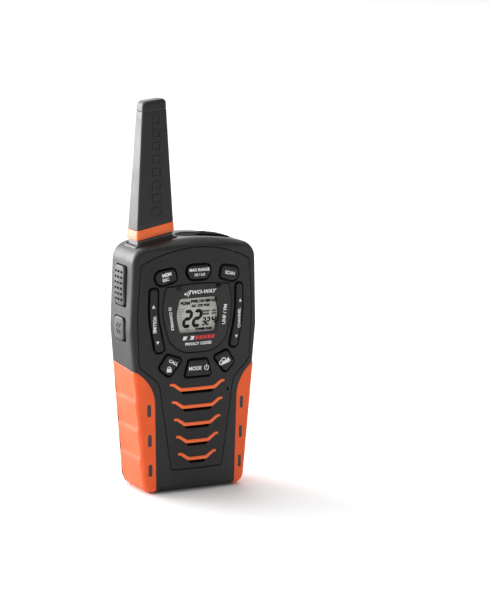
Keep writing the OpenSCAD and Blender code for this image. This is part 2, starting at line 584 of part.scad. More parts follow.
// ---- belt clip ----
module belt_clip_base() color([0.14, 0.14, 0.14]) difference() {
    union() {
        box([-9.5, back_y + 0.3, 93], [9.5, back_y + 4.6, 118]);
        for (s = [-1, 1]) intersection() {
            box([s * 7.75 - 1.75, back_y + 4.5, clip_pin_z - 4], [s * 7.75 + 1.75, clip_pin_y + 2.4, clip_pin_z + 4]);
            rod_x(clip_pin_y - 2.2, clip_pin_z, -20, 20, 4.6);
        }
    }
    box([-4.2, 0, 80], [4.2, back_y + 1.8, 117.1]);
    box([-6.8, back_y + 1.45, 80], [6.8, back_y + 3.1, 117.1]);
    rod_x(clip_pin_y, clip_pin_z, -20, 20, 1.1);
}
module belt_clip_arm() color([0.14, 0.14, 0.14]) difference() {
    union() {
        translate([5.8, 0, 0]) rotate([90, 0, -90]) linear_extrude(11.6) polygon(rounded(arm_edge));
        difference() {
            translate([9, 0, 0]) rotate([90, 0, -90]) linear_extrude(18) polygon(rounded(arm_edge));
            box([-far, 0, clip_pin_z - 5.4], [far, clip_pin_y + 2.9, clip_pin_z + 5.4]);
        }
    }
    rod_x(clip_pin_y, clip_pin_z, -20, 20, 1.1);
    box([-4, 0, clip_pin_z - 2.8], [4, clip_pin_y + 2.6, clip_pin_z + 2.8]);
}
// The arm seen from the right: [towards the back, up], hooked inwards at its foot
arm_edge = [for (p = [[26.9, 117, 0.8], [24.5, 117, 0.8], [21.9, 110.5, 2], [22.1, 104, 2], [23.2, 80, 2],
    [19.4, 78.4, 0.8], [19.1, 75, 0.8], [20.6, 73.4, 1], [25.4, 76, 2.5], [25.9, 104, 10], [25.7, 110, 4]])
    [-p[0], p[1], p[2]]];
module belt_clip_pin() color([0.7, 0.7, 0.7]) rod_x(clip_pin_y, clip_pin_z, -9.4, 9.4, 1);
module belt_clip_spring() color([0.7, 0.7, 0.7]) translate([-3.4, clip_pin_y, clip_pin_z]) rotate([0, 90, 0])
    coil(0, 6.8, 1.65, 1.65, 5, 0.35, 5, 10);

front_housing();
rear_housing();
front_panel();
color([0.95, 0.37, 0.15]) mirror([1, 0, 0]) grip();  // grip_left
color([0.95, 0.37, 0.15]) grip();  // grip_right
grille_bars();
speaker_cloth();
display_lens();
display_module();
display_holder();
mem_key();
range_key();
scan_key();
volume_key();
channel_key();
call_key();
mode_key();
weather_key();
key_membrane();
circuit_board();
board_parts();
microphone();
speaker_frame();
speaker_cone();
speaker_magnet();
ptt_button();
replay_button();
side_board();
side_switches();
antenna_base();
antenna_ring();
antenna_sleeve();
antenna_coil();
jack_cover();
audio_jack();
charge_socket();
housing_seal();
housing_screws();
battery_cell_1();
battery_cell_2();
battery_cell_3();
battery_springs();
battery_plates();
battery_door();
door_seal();
door_lock();
charge_contacts();
belt_clip_base();
belt_clip_arm();
belt_clip_pin();
belt_clip_spring();
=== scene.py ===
import bpy, bmesh, math
import numpy as np
from mathutils import Matrix, Vector
from mathutils.geometry import delaunay_2d_cdt
from mathutils.kdtree import KDTree


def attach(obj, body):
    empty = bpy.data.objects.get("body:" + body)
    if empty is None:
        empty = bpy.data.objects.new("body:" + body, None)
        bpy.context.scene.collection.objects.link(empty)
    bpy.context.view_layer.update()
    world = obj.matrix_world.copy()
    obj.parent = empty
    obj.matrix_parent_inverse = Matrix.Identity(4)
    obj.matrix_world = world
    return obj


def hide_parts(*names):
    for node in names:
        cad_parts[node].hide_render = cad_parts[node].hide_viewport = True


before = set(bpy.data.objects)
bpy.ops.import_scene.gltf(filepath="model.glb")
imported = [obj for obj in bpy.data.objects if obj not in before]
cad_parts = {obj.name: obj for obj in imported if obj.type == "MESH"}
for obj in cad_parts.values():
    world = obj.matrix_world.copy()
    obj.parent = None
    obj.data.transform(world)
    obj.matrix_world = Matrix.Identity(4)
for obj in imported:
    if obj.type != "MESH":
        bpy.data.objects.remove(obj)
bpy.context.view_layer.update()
MM = 0.001

# Sizes of the radio, in millimetres: X to its right, -Y out of its front, Z up from its foot
FRONT = -16.0
CROWN_R = 132.0
ANTENNA_X, ANTENNA_FOOT, ANTENNA_LENGTH = -18.1, 125, 63
KEY_RISE = 0.7
SIDE_Y = 0.9
SIDE_BUTTONS = (("ptt_button", 101.2, 11.2), ("replay_button", 80.2, 7.1))
RIDGE_PITCH, RIDGE_DEPTH, RIDGE_FOOT = 14.3, 0.75, 47.2
SLOT_PITCH = 14.8
INK = 0.03
LENS_RISE = 0.15
GLASS_Y = -13.4


# ---- outlines
# An outline is a list of corners (across, up, radius), anticlockwise
def mirrored(corners):
    return [(-u, v, r) for u, v, r in reversed(corners)]


def both_sides(corners):
    return corners + mirrored(corners)


def oblong(left, low, right, high, r):
    return [(left, low, r), (right, low, r), (right, high, r), (left, high, r)]


def placed(corners, across, up, turn):
    c, s = math.cos(math.radians(turn)), math.sin(math.radians(turn))
    return [(across + u * c - v * s, up + u * s + v * c, r) for u, v, r in corners]


def grown(corners, d):
    """The outline with every edge moved out by d."""
    out = []
    for i, (u, v, r) in enumerate(corners):
        p = np.array((u, v))
        e1 = p - corners[i - 1][:2]
        e2 = np.array(corners[(i + 1) % len(corners)][:2]) - p
        e1, e2 = e1 / np.linalg.norm(e1), e2 / np.linalg.norm(e2)
        n1, n2 = np.array((e1[1], -e1[0])), np.array((e2[1], -e2[0]))
        q = p + (n1 + n2) * d / (1 + n1 @ n2)
        bend = e1[0] * e2[1] - e1[1] * e2[0]
        out.append((q[0], q[1], max(0.12, r + (d if bend > 0 else -d))))
    return out


def drawn(corners, step=0.6):
    """The outline's points, close enough together to look round."""
    points = []
    for i, (u, v, r) in enumerate(corners):
        p = np.array((u, v))
        e1 = np.array(corners[i - 1][:2]) - p
        e2 = np.array(corners[(i + 1) % len(corners)][:2]) - p
        e1, e2 = e1 / np.linalg.norm(e1), e2 / np.linalg.norm(e2)
        half = math.acos(max(-1, min(1, e1 @ e2))) / 2
        mid = p + (e1 + e2) / np.linalg.norm(e1 + e2) * r / math.sin(half)
        start = p + e1 * r / math.tan(half) - mid
        angle = math.atan2(start[1], start[0])
        bend = e1[0] * e2[1] - e1[1] * e2[0]
        sweep = (math.pi - 2 * half) * (1 if bend < 0 else -1)
        n = max(3, int(r * abs(sweep) / step) + 1, int(abs(sweep) / 0.22) + 1)
        for k in range(n + 1):
            a = angle + sweep * k / n
            points.append(mid + r * np.array((math.cos(a), math.sin(a))))
    whole = []
    for i, p in enumerate(points):
        q = points[(i + 1) % len(points)]
        gap = np.linalg.norm(q - p)
        if gap < 1e-6:
            continue
        n = max(1, int(gap / (2 * step)))
        whole += [p + (q - p) * k / n for k in range(n)]
    return np.array(whole)


BODY_SIDE = [(27.1, 0, 5.4), (33.88, 80, 30), (32.58, 119.4, 8.5)]
BODY = [(-27.1, 0, 5.4)] + BODY_SIDE + [(0, 127, 100)] + mirrored(BODY_SIDE[1:])
PANEL_SIDE = [(13.6, 11.2, 1.2), (19.9, 54.8, 7), (29.6, 62.8, 5), (30.6, 88, 60), (29, 112.3, 0.8)]
PANEL = PANEL_SIDE + [(0, 127.4, 57)] + mirrored(PANEL_SIDE)
LENS_SIDE = [(9, 68.9, 12), (15, 75, 5), (19.1, 89.5, 30), (16.8, 101.2, 1.2)]
LENS = LENS_SIDE + [(0, 103, 90)] + mirrored(LENS_SIDE)
WINDOW = both_sides([(9.6, 78.2, 1.5), (11.7, 87, 14), (9.8, 95.4, 1.5)])
GRIP = [(20.7, -5, 0.15), (60, -5, 0.15), (60, 60.9, 0.15), (31.3, 60.9, 1.5), (21.9, 53.3, 19)]
END_KEY = [(-5.3, -3.2, 2.2), (5.5, -3.9, 3.4), (5.5, 3.9, 3.4), (-5.3, 3.5, 2.2)]
SCAN = placed(END_KEY, 16.9, 106.3, -13)
WEATHER = [(8.1, 66, 1.4), (14.9, 57, 1.8), (20.7, 62, 2), (16.1, 68.9, 1.4)]
CHANNEL = [(17.2, 70.2, 1.8), (22.1, 69.1, 2.2), (25.2, 87, 40), (24.9, 101, 1.9), (20.7, 101.2, 1.6),
           (20.8, 87.5, 40)]
KEYS = {
    "mem_key": mirrored(SCAN), "range_key": both_sides([(4.6, 104.2, 3.2), (8.6, 111.7, 3.1)]), "scan_key": SCAN,
    "volume_key": mirrored(CHANNEL), "channel_key": CHANNEL, "call_key": mirrored(WEATHER),
    "mode_key": both_sides([(7.3, 56.7, 1.2), (5, 65.3, 1.2)]), "weather_key": WEATHER}
DISH = [(-6.5, -1.5, 1), (-1, -7.4, 6), (15, -8.2, 18), (26.2, -1.6, 2), (14, 6.6, 20), (-1, 5.6, 8)]
JACK_COVER = oblong(6.0, -4.6, 24.0, 4.6, 4.55)
BAR_TOP, BAR_PITCH, BARS = 50.8, 8.65, 5


def bar_outline(i):
    """A speaker bar, level in the middle and turned up at its tips."""
    z, tip, bend, half = BAR_TOP - BAR_PITCH * i, 14.8 - 1.13 * i, 9.3 - 1.07 * i, 0.85
    right = [(bend, z - half, 1.2), (bend + 3.9, z + 2, 1.2), (tip, z + 2.1, 0.62), (tip, z + 3.4, 0.62),
             (bend + 3.2, z + 3.3, 1.2), (bend - 0.6, z + half, 1.2)]
    return right + mirrored(right)


def slot_outline(i):
    """The dark slit under a speaker bar."""
    z, bend = BAR_TOP - BAR_PITCH * i, 9.3 - 1.07 * i
    return both_sides([(bend - 1.2, z - 2.2, 0.45), (bend - 0.1, z - 0.6, 0.3)])


def side_opening(z, half_h, half_w, back=0.0):
    y = SIDE_Y + back
    return oblong(y - half_w, z - half_h, y + half_w, z + half_h, 2.6)


# ---- surfaces of the casing
BODY_LINE = drawn(BODY, 0.5)
RIGHT_WALL = BODY_LINE[(BODY_LINE[:, 0] > 20) & (BODY_LINE[:, 1] < 117)]
RIGHT_WALL = RIGHT_WALL[np.argsort(RIGHT_WALL[:, 1])]
TOP_WALL = BODY_LINE[(BODY_LINE[:, 1] > 110)]
TOP_WALL = TOP_WALL[np.argsort(TOP_WALL[:, 0])]


def tree_of(points):
    """The points, ready to be asked which is nearest."""
    tree = KDTree(len(points))
    for k, (u, v) in enumerate(points):
        tree.insert((u, v, 0), k)
    tree.balance()
    return tree


BODY_TREE = tree_of(BODY_LINE)


def ease(t):
    t = np.clip(t, 0, 1)
    return t * t * (3 - 2 * t)


def crown(x):
    return FRONT + x * x / (2 * CROWN_R)


def half_width(z):
    return float(np.interp(z, RIGHT_WALL[:, 1], RIGHT_WALL[:, 0]))


def front_surface(x, z, inset=None):
    """How far back the casing's front lies: the crown, blended into the rounded edge."""
    if inset is None:
        inset = BODY_TREE.find((x, z, 0))[2]
    edge = -10 - 2.75 * max(inset, 0) ** 0.65
    face = crown(x)
    h = max(0.9 - abs(edge - face), 0) / 0.9
    return max(edge, face) + h * h * 0.9 / 4


def on_front(x, z, depth):
    return (x, crown(x) + depth, z)


def on_left(y, z, depth):
    return (-(half_width(z) - depth), y, z)


def on_top(x, y, depth):
    return (x, y, float(np.interp(x, TOP_WALL[:, 0], TOP_WALL[:, 1])) - depth)


# ---- mesh making
def mesh_piece(name, points, faces, material, body="casing", sharp=38, weld=False):
    """A finished piece: points in millimetres, its faces, its material and the body it rides on."""
    mesh = bpy.data.meshes.new(name)
    mesh.from_pydata([(p[0] * MM, p[1] * MM, p[2] * MM) for p in points], [], faces)
    if weld:
        bm = bmesh.new()
        bm.from_mesh(mesh)
        bmesh.ops.remove_doubles(bm, verts=bm.verts, dist=2e-6)
        bm.to_mesh(mesh)
        bm.free()
    mesh.validate()
    mesh.shade_smooth()
    mesh.set_sharp_from_angle(angle=math.radians(sharp))
    mesh.materials.append(material)
    obj = bpy.data.objects.new(name, mesh)
    bpy.context.scene.collection.objects.link(obj)
    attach(obj, body)
    return obj


def finished(piece, node=None):
    """Hides the CAD part that a piece stands for, if one is given, and gives the piece back."""
    if node:
        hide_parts(node)
    return piece


def area(loop):
    u, v = loop[:, 0], loop[:, 1]
    return 0.5 * np.sum(u * np.roll(v, -1) - np.roll(u, -1) * v)


def shifted(loop, d):
    """A closed run of points moved to the left of its direction by d."""
    e = np.roll(loop, -1, 0) - loop
    e /= np.maximum(np.linalg.norm(e, axis=1), 1e-9)[:, None]
    n = np.stack((-e[:, 1], e[:, 0]), 1)
    before = np.roll(n, 1, 0)
    return loop + d * (n + before) / np.maximum(1 + np.sum(n * before, 1), 0.35)[:, None]


def inside(points, loops):
    odd = np.zeros(len(points), bool)
    for loop in loops:
        a, b = loop, np.roll(loop, -1, 0)
        for k in range(len(a)):
            if a[k, 1] == b[k, 1]:
                continue
            span = (a[k, 1] > points[:, 1]) != (b[k, 1] > points[:, 1])
            at = (b[k, 0] - a[k, 0]) * (points[:, 1] - a[k, 1]) / (b[k, 1] - a[k, 1]) + a[k, 0]
            odd ^= span & (points[:, 0] < at)
    return odd


def filled(loops, spacing):
    """Triangles that fill the space between loops: the points added inside, and the faces."""
    edge_points = np.concatenate(loops)
    low, high = edge_points.min(0), edge_points.max(0)
    rows = np.arange(low[1] + spacing / 2, high[1], spacing * 0.87)
    grid = np.array([(u + (spacing / 2 if k % 2 else 0), v) for k, v in enumerate(rows)
                     for u in np.arange(low[0] + spacing / 3, high[0], spacing)])
    if len(grid):
        tree = tree_of(edge_points)
        grid = grid[inside(grid, loops)]
        grid = np.array([p for p in grid if tree.find((p[0], p[1], 0))[2] > spacing * 0.6]).reshape(-1, 2)
    every = np.concatenate((edge_points, grid)) if len(grid) else edge_points
    edges, start = [], 0
    for loop in loops:
        n = len(loop)
        edges += [(start + k, start + (k + 1) % n) for k in range(n)]
        start += n
    spots, _, faces, came_from, _, _ = delaunay_2d_cdt([Vector(p) for p in every], edges, [], 0, 1e-7)
    middles = np.array([[sum(spots[k][0] for k in f) / 3, sum(spots[k][1] for k in f) / 3] for f in faces])
    keep = inside(middles, loops)
    source = [c[0] if c else None for c in came_from]
    triangles = [tuple(source[k] for k in f) for f, ok in zip(faces, keep) if ok]
    return grid, [t for t in triangles if None not in t and len(set(t)) == 3]


def strip(first, second, n):
    """The faces between two closed rings of n points, which start at these numbers."""
    return [(first + i, first + (i + 1) % n, second + (i + 1) % n, second + i) for i in range(n)]


def walled(points, faces, loop, profile, place):
    """Adds the wall and rounded lip that run round a loop. Gives back the last ring and its points' numbers."""
    n = len(loop)
    for k, (into, deep) in enumerate(profile):
        ring = shifted(loop, into) if into else loop
        start = len(points)
        points += [place(u, v, deep) for u, v in ring]
        if k:
            faces += strip(start - n, start, n)
    return ring, list(range(start, start + n))


def covered(points, faces, rims, numbers, spacing, place):
    """Adds the face that spans the space between rims."""
    extra, triangles = filled(rims, spacing)
    every = numbers + list(range(len(points), len(points) + len(extra)))
    points += [place(u, v, 0) for u, v in extra]
    faces += [tuple(every[k] for k in t) for t in triangles]


def lip_profile(lip, depth, steps=4):
    """A wall and a rounded lip: (distance into the face, depth), from the deepest point up."""
    arc = [(lip * (1 - math.cos(a)), lip * (1 - math.sin(a)))
           for a in [math.pi / 2 * k / steps for k in range(steps + 1)]]
    return [(0, depth)] + arc + [(lip + 0.12, 0)]


def plate(name, outline, place, material, body="casing", holes=(), lip=0.35, depth=2.0, spacing=1.4,
          hole_lips=None, hole_depth=None, step=0.5, back=False):
    """A crowned plate with rounded lips round its outline and its holes. place puts (across, up, depth) in space."""
    points, faces, rims, numbers = [], [], [], []
    lips = [lip] + list(hole_lips or [lip] * len(holes))
    for index, corners in enumerate([outline] + list(holes)):
        loop = corners if isinstance(corners, np.ndarray) else drawn(corners, step)
        if (area(loop) > 0) != (index == 0):
            loop = loop[::-1]
        profile = lip_profile(lips[index], hole_depth or depth if index else depth)
        rim, added = walled(points, faces, loop, profile, place)
        rims.append(rim)
        numbers += added
    covered(points, faces, rims, numbers, spacing, place)
    if back:
        faces.append(tuple(range(len(rims[0]) - 1, -1, -1)))
    a = np.array([place(0, 90, 0), place(0.1, 90, 0), place(0, 90.1, 0), place(0, 90, -0.1)])
    if np.cross(a[1] - a[0], a[2] - a[0]) @ (a[3] - a[0]) <= 0:
        faces = [tuple(reversed(f)) for f in faces]
    return mesh_piece(name, points, faces, material, body)


def lofted(name, rings, material, body="casing", cap_start=True, cap_end=True, sharp=38):
    """A skin through closed rings of points."""
    n = len(rings[0])
    points = [p for ring in rings for p in ring]
    faces = [face for k in range(len(rings) - 1) for face in strip(k * n, (k + 1) * n, n)]
    if cap_start:
        faces.append(tuple(range(n - 1, -1, -1)))
    if cap_end:
        faces.append(tuple(range((len(rings) - 1) * n, len(rings) * n)))
    return mesh_piece(name, points, faces, material, body, sharp)


# ---- shader groups
def new_group(name, inputs, outputs):
    tree = bpy.data.node_groups.new(name, "ShaderNodeTree")
    for label, kind, value in inputs:
        socket = tree.interface.new_socket(label, in_out="INPUT", socket_type=kind)
        if value is not None:
            socket.default_value = value
    for label, kind in outputs:
        tree.interface.new_socket(label, in_out="OUTPUT", socket_type=kind)
    return tree, tree.nodes.new("NodeGroupInput"), tree.nodes.new("NodeGroupOutput")


def node_maker(tree):
    def make(kind, links=None, **values):
        node = tree.nodes.new(kind)
        for key, value in values.items():
            setattr(node, key, value)
        for socket, value in (links or {}).items():
            if isinstance(value, bpy.types.NodeSocket):
                tree.links.new(value, node.inputs[socket])
            else:
                node.inputs[socket].default_value = value
        return node
    return make


def moulded_grain_group():
    """Spark-eroded mould texture: fine pits over a faint larger unevenness."""
    tree, source, sink = new_group("moulded_grain", [("Cells per metre", "NodeSocketFloat", 2600.0),
                                   ("Waviness", "NodeSocketFloat", 0.3)], [("Height", "NodeSocketFloat")])
    make = node_maker(tree)
    place = make("ShaderNodeTexCoord").outputs["Object"]
    pits = make("ShaderNodeTexVoronoi", {"Vector": place, "Scale": source.outputs[0], "Smoothness": 0.6},
                feature="SMOOTH_F1")
    fine = make("ShaderNodeTexNoise", {"Vector": place, "Scale": source.outputs[0], "Detail": 3.0})
    waves = make("ShaderNodeTexNoise", {"Vector": place, "Scale": 160.0, "Detail": 2.0})
    wavy = make("ShaderNodeMath", {0: waves.outputs["Fac"], 1: source.outputs[1]}, operation="MULTIPLY")
    both = make("ShaderNodeMath", {0: pits.outputs["Distance"], 1: fine.outputs["Fac"]}, operation="ADD")
    total = make("ShaderNodeMath", {0: both.outputs[0], 1: wavy.outputs[0]}, operation="ADD")
    tree.links.new(total.outputs[0], sink.inputs[0])
    return tree


def handled_group():
    """Where hands have polished or dusted a surface: a soft mask, and the same mask in fine specks."""
    tree, source, sink = new_group("handled", [("Patches per metre", "NodeSocketFloat", 45.0)],
                                   [("Polish", "NodeSocketFloat"), ("Specks", "NodeSocketFloat")])
    make = node_maker(tree)
    place = make("ShaderNodeTexCoord").outputs["Object"]
    broad = make("ShaderNodeTexNoise", {"Vector": place, "Scale": source.outputs[0], "Detail": 4.0, "Roughness": 0.6})
    polish = make("ShaderNodeMapRange", {"Value": broad.outputs["Fac"], "From Min": 0.35, "From Max": 0.7})
    specks = make("ShaderNodeTexNoise", {"Vector": place, "Scale": 1900.0, "Detail": 2.0})
    sharp = make("ShaderNodeMapRange", {"Value": specks.outputs["Fac"], "From Min": 0.58, "From Max": 0.74})
    tree.links.new(polish.outputs["Result"], sink.inputs[0])
    tree.links.new(sharp.outputs["Result"], sink.inputs[1])
    return tree


def edge_wear_group():
    """A mask that is bright on rounded-over edges, broken up as rubbing breaks it."""
    tree, source, sink = new_group("edge_wear", [("Amount", "NodeSocketFloat", 0.5)], [("Mask", "NodeSocketFloat")])
    make = node_maker(tree)
    point = make("ShaderNodeNewGeometry").outputs["Pointiness"]
    ridge = make("ShaderNodeMapRange", {"Value": point, "From Min": 0.53, "From Max": 0.62})
    place = make("ShaderNodeTexCoord").outputs["Object"]
    noise = make("ShaderNodeTexNoise", {"Vector": place, "Scale": 420.0, "Detail": 5.0})
    broken = make("ShaderNodeMapRange", {"Value": noise.outputs["Fac"], "From Min": 0.4, "From Max": 0.65})
    mask = make("ShaderNodeMath", {0: ridge.outputs["Result"], 1: broken.outputs["Result"]}, operation="MULTIPLY")
    total = make("ShaderNodeMath", {0: mask.outputs[0], 1: source.outputs[0]}, operation="MULTIPLY")
    tree.links.new(total.outputs[0], sink.inputs[0])
    return tree


GRAIN, HANDLED, WEAR = moulded_grain_group(), handled_group(), edge_wear_group()


def finish(name, color, worn=None, rough=(0.42, 0.55), grain=2600.0, relief=10, metal=0.0, wear=0.4,
           spots=0.03, specular=0.5, sheen=0.0, coat=0.0, alpha=1.0, even=False):
    """A moulded, rubber or metal finish with grain, handling marks and rubbed edges. relief is in micrometres."""
    mat = bpy.data.materials.new(name)
    mat.use_nodes = True
    tree = mat.node_tree
    make = node_maker(tree)
    shader = tree.nodes["Principled BSDF"]
    worn = worn or tuple(min(1, c * 1.7 + 0.015) for c in color)
    handled = make("ShaderNodeGroup", node_tree=HANDLED)
    edges = make("ShaderNodeGroup", {"Amount": wear}, node_tree=WEAR)
    texture = make("ShaderNodeGroup", {"Cells per metre": grain}, node_tree=GRAIN)
    amount = make("ShaderNodeMath", {0: handled.outputs["Specks"], 1: spots}, operation="MULTIPLY")

    def mixed(factor, first, second):
        return make("ShaderNodeMix", {"Factor": factor, 6: first, 7: tuple(second) + (1,)}, data_type="RGBA")
    low = tuple(c * (1 if even else 0.86) for c in color) + (1,)
    tone = mixed(handled.outputs["Polish"], low, color)
    specked = mixed(amount.outputs[0], tone.outputs[2], [min(1, c * 2 + 0.05) for c in color])
    rubbed = mixed(edges.outputs["Mask"], specked.outputs[2], worn)
    tree.links.new(rubbed.outputs[2], shader.inputs["Base Color"])
    gloss = make("ShaderNodeMapRange", {"Value": handled.outputs["Polish"], "To Min": rough[1], "To Max": rough[0]})
    tree.links.new(gloss.outputs["Result"], shader.inputs["Roughness"])
    bump = make("ShaderNodeBump", {"Height": texture.outputs["Height"], "Distance": relief * 1e-6, "Strength": 0.6})
    tree.links.new(bump.outputs["Normal"], shader.inputs["Normal"])
    for label, value in (("Metallic", metal), ("Specular IOR Level", specular), ("Sheen Weight", sheen),
                         ("Coat Weight", coat), ("Alpha", alpha)):
        shader.inputs[label].default_value = value
    return mat


SHELL_BLACK = finish("shell_black", (0.0095, 0.0095, 0.01), rough=(0.36, 0.47), relief=12, specular=0.38)
PANEL_BLACK = finish("panel_black", (0.009, 0.009, 0.0095), rough=(0.38, 0.5), grain=3000.0, relief=8,
                     specular=0.36)
KEY_BLACK = finish("key_black", (0.008, 0.008, 0.0085), rough=(0.4, 0.5), grain=3200.0, relief=8, specular=0.36)
CLIP_BLACK = finish("clip_black", (0.012, 0.012, 0.013), rough=(0.42, 0.55), grain=1800.0, relief=20)
RUBBER_BLACK = finish("rubber_black", (0.012, 0.012, 0.013), rough=(0.48, 0.6), grain=2200.0, relief=20, sheen=0.06)
BUTTON_BLACK = finish("button_rubber", (0.026, 0.026, 0.027), rough=(0.42, 0.52), grain=2200.0, relief=10)
ANTENNA_RUBBER = finish("antenna_rubber_black", (0.009, 0.009, 0.0095), rough=(0.36, 0.46), grain=2200.0, relief=10,
                        specular=0.48)
# Near-black, dull finish: the jack cover's own black, and painted shade on the floors round the side buttons and on
# the talk button's domes.
COVER_AND_SHADE_BLACK = finish("cover_black_and_painted_shade", (0.004, 0.004, 0.0045), rough=(0.75, 0.85), specular=0.1)
COLLAR_GREY = finish("collar_grey", (0.03, 0.03, 0.031), rough=(0.24, 0.34), relief=6, specular=0.6)
RUBBER_ORANGE = finish("rubber_orange", (0.88, 0.118, 0.026), worn=(0.9, 0.2, 0.08), rough=(0.5, 0.62),
                       grain=2400.0, relief=18, sheen=0.04, spots=0.04, specular=0.25)
BAR_ORANGE = finish("bar_orange", (0.97, 0.165, 0.038), worn=(0.93, 0.26, 0.1), rough=(0.36, 0.46), relief=6,
                    specular=0.4)
RUBBER_GREY = finish("rubber_grey", (0.2, 0.2, 0.21), rough=(0.5, 0.65))
LENS_SMOKE = finish("lens_smoke", (0.006, 0.006, 0.007), rough=(0.16, 0.24), relief=1, wear=0.1, specular=0.4)
LENS_CLEAR = finish("lens_clear", (0.05, 0.05, 0.05), rough=(0.05, 0.1), relief=0.5, wear=0.0, alpha=0.05)
CLOTH_BLACK = finish("speaker_cloth_black", (0.008, 0.008, 0.008), rough=(0.85, 0.95), grain=1500.0, relief=100)
STEEL = finish("tinned_steel", (0.58, 0.58, 0.59), rough=(0.24, 0.4), metal=1.0, relief=4, wear=0.2)
DARK_STEEL = finish("dark_steel", (0.12, 0.12, 0.125), rough=(0.3, 0.45), metal=0.8, relief=6, wear=0.6)
GOLD = finish("contact_gold", (0.78, 0.52, 0.16), rough=(0.18, 0.32), metal=1.0, relief=2)
COPPER = finish("antenna_copper", (0.7, 0.3, 0.14), rough=(0.25, 0.4), metal=1.0, relief=3)
BOARD_GREEN = finish("board_green", (0.015, 0.13, 0.05), rough=(0.3, 0.42), relief=4, coat=0.3)
CONE_BLACK = finish("cone_paper", (0.03, 0.03, 0.032), rough=(0.7, 0.85), grain=900.0, relief=60)
HOLDER_WHITE = finish("holder_white", (0.7, 0.7, 0.68), rough=(0.35, 0.5))
CELL_GREEN = finish("cell_wrap", (0.03, 0.2, 0.09), worn=(0.5, 0.5, 0.48), rough=(0.2, 0.32), relief=3, coat=0.5)
UNWORN = {"wear": 0.0, "spots": 0.0}
PRINT_WHITE = finish("print_white", (0.80, 0.80, 0.79), rough=(0.45, 0.55), **UNWORN)
PRINT_RED = finish("print_red", (0.62, 0.02, 0.025), rough=(0.45, 0.55), **UNWORN)
LCD_INK = finish("lcd_ink", (0.004, 0.004, 0.005), rough=(0.4, 0.5), specular=0.1, **UNWORN)
LCD_FAINT = finish("lcd_ink_faint", (0.3, 0.3, 0.27), rough=(0.4, 0.5), **UNWORN)
LCD_GREY = finish("lcd_polariser", (0.56, 0.555, 0.51), rough=(0.3, 0.4), relief=2, wear=0.0, spots=0.01)
SLOT_DARK = finish("grip_slot_dark", (0.02, 0.03, 0.03), rough=(0.5, 0.6))


# ---- front housing
def grip_top(y):
    """The height of a grip's top edge, rising towards the back."""
    return 60.3 + 1.6 * np.clip((y + 10) / 22, 0, 1)


def settled(p):
    """The housing is thinner where a rubber grip lies over its side."""
    x, y, z = p
    if abs(x) < 20 or z > grip_top(y):
        return p
    w = float(ease((grip_top(y) - z) / 0.7) * ease((y + 12.6) / 1.6))
    return (x - math.copysign(0.9 * w, x), y, z)


def front_shell():
    """The front half of the casing: crowned face, rounded edge and walls, open for the panel and the side buttons."""
    line, n = BODY_LINE, len(BODY_LINE)
    steps = [12.0, 11.8, 8.0, 2.0, -4.0, -8.0, -9.4, -10.0]
    left = [i for i in range(n) if line[i, 0] < 0 and 7 < line[i, 1] < 114.6]
    top = [i for i in range(n) if line[i, 1] > 115.4 and abs(line[i, 0]) < 27.2]
    points, faces = [], []
    for y in steps:
        inset = 0.2 if y == 12.0 else 0
        points += [(u, y, v) for u, v in shifted(line, inset)]

    def opened(i):
        """Whether the wall from point i to the next is left to a patch."""
        j = (i + 1) % n
        return (i in left and j in left) or (i in top and j in top)
    for k in range(len(steps) - 1):
        faces += [f for i, f in enumerate(strip(k * n, (k + 1) * n, n)) if not opened(i)]
    base = (len(steps) - 1) * n
    for inset in (0.06, 0.18, 0.4, 0.7, 1.05, 1.45):
        ring = shifted(line, inset)
        start = len(points)
        points += [(u, front_surface(u, v, inset), v) for u, v in ring]
        faces += strip(base, start, n)
        base = start

    def on_face(u, v, depth):
        return (u, front_surface(u, v) + depth, v)
    rim, numbers = walled(points, faces, drawn(grown(PANEL, 0.14), 0.6)[::-1], lip_profile(0.45, 2.4), on_face)
    covered(points, faces, [ring, rim], list(range(base, base + n)) + numbers, 0.75, on_face)

    def wall_patch(indices, across, place, holes):
        """A stretch of wall with openings in it, joined to its neighbours point by point."""
        run = [line[i] for i in indices]
        loop = [(across(p), -10.0) for p in run] + [(across(run[-1]), y) for y in steps[-2:1:-1]]
        loop += [(across(p), 11.8) for p in reversed(run)] + [(across(run[0]), y) for y in steps[2:-1]]
        loop = np.array(loop if area(np.array(loop)) > 0 else loop[::-1])
        rims, numbers = [loop], list(range(len(points), len(points) + len(loop)))
        points.extend(place(a, b, 0) for a, b in loop)
        for corners in holes:
            rim, added = walled(points, faces, drawn(corners, 0.4)[::-1], lip_profile(1.0, 2.8), place)
            rims.append(rim)
            numbers += added
        covered(points, faces, rims, numbers, 1.6, place)

    wall_patch(left, lambda p: p[1], lambda a, b, d: on_left(b, a, d),
               [[(v, u, r) for u, v, r in side_opening(z, half_h, 7.5)] for _, z, half_h in SIDE_BUTTONS])
    wall_patch(top, lambda p: p[0], on_top, [DISH])
    faces += [f for i, f in enumerate(strip(0, n, n)) if opened(i)]
    shell = mesh_piece("front_shell", [settled(p) for p in points], faces, SHELL_BLACK, weld=True)
    finished(shell, "front_housing")
    floor = plate("top_dish", grown(DISH, -0.02), lambda x, y, d: on_top(x, y, d + 0.6), COVER_AND_SHADE_BLACK,
                  holes=[grown(JACK_COVER, 0.45)], lip=0.05, depth=1.2, hole_lips=[0.2], hole_depth=1.4)
    finished(floor)


def jack_cover():
    def dome(x, y):
        return 1.15 - 0.75 * ((x - 15) / 9.2) ** 2 - 0.45 * (y / 4.6) ** 2
    cover = plate("jack_cover_cap", JACK_COVER, lambda x, y, d: on_top(x, y, d - dome(x, y)), COVER_AND_SHADE_BLACK,
                  "jack_cover", lip=0.45, depth=1.0, back=True)
    tab = plate("jack_cover_tab", oblong(8.2, -1.6, 11.2, 1.6, 1.5),
                lambda x, y, d: on_top(x, y, d - dome(x, y) - 0.3), COVER_AND_SHADE_BLACK, "jack_cover", lip=0.25, depth=0.5)
    finished(cover, "jack_cover")
    finished(tab)


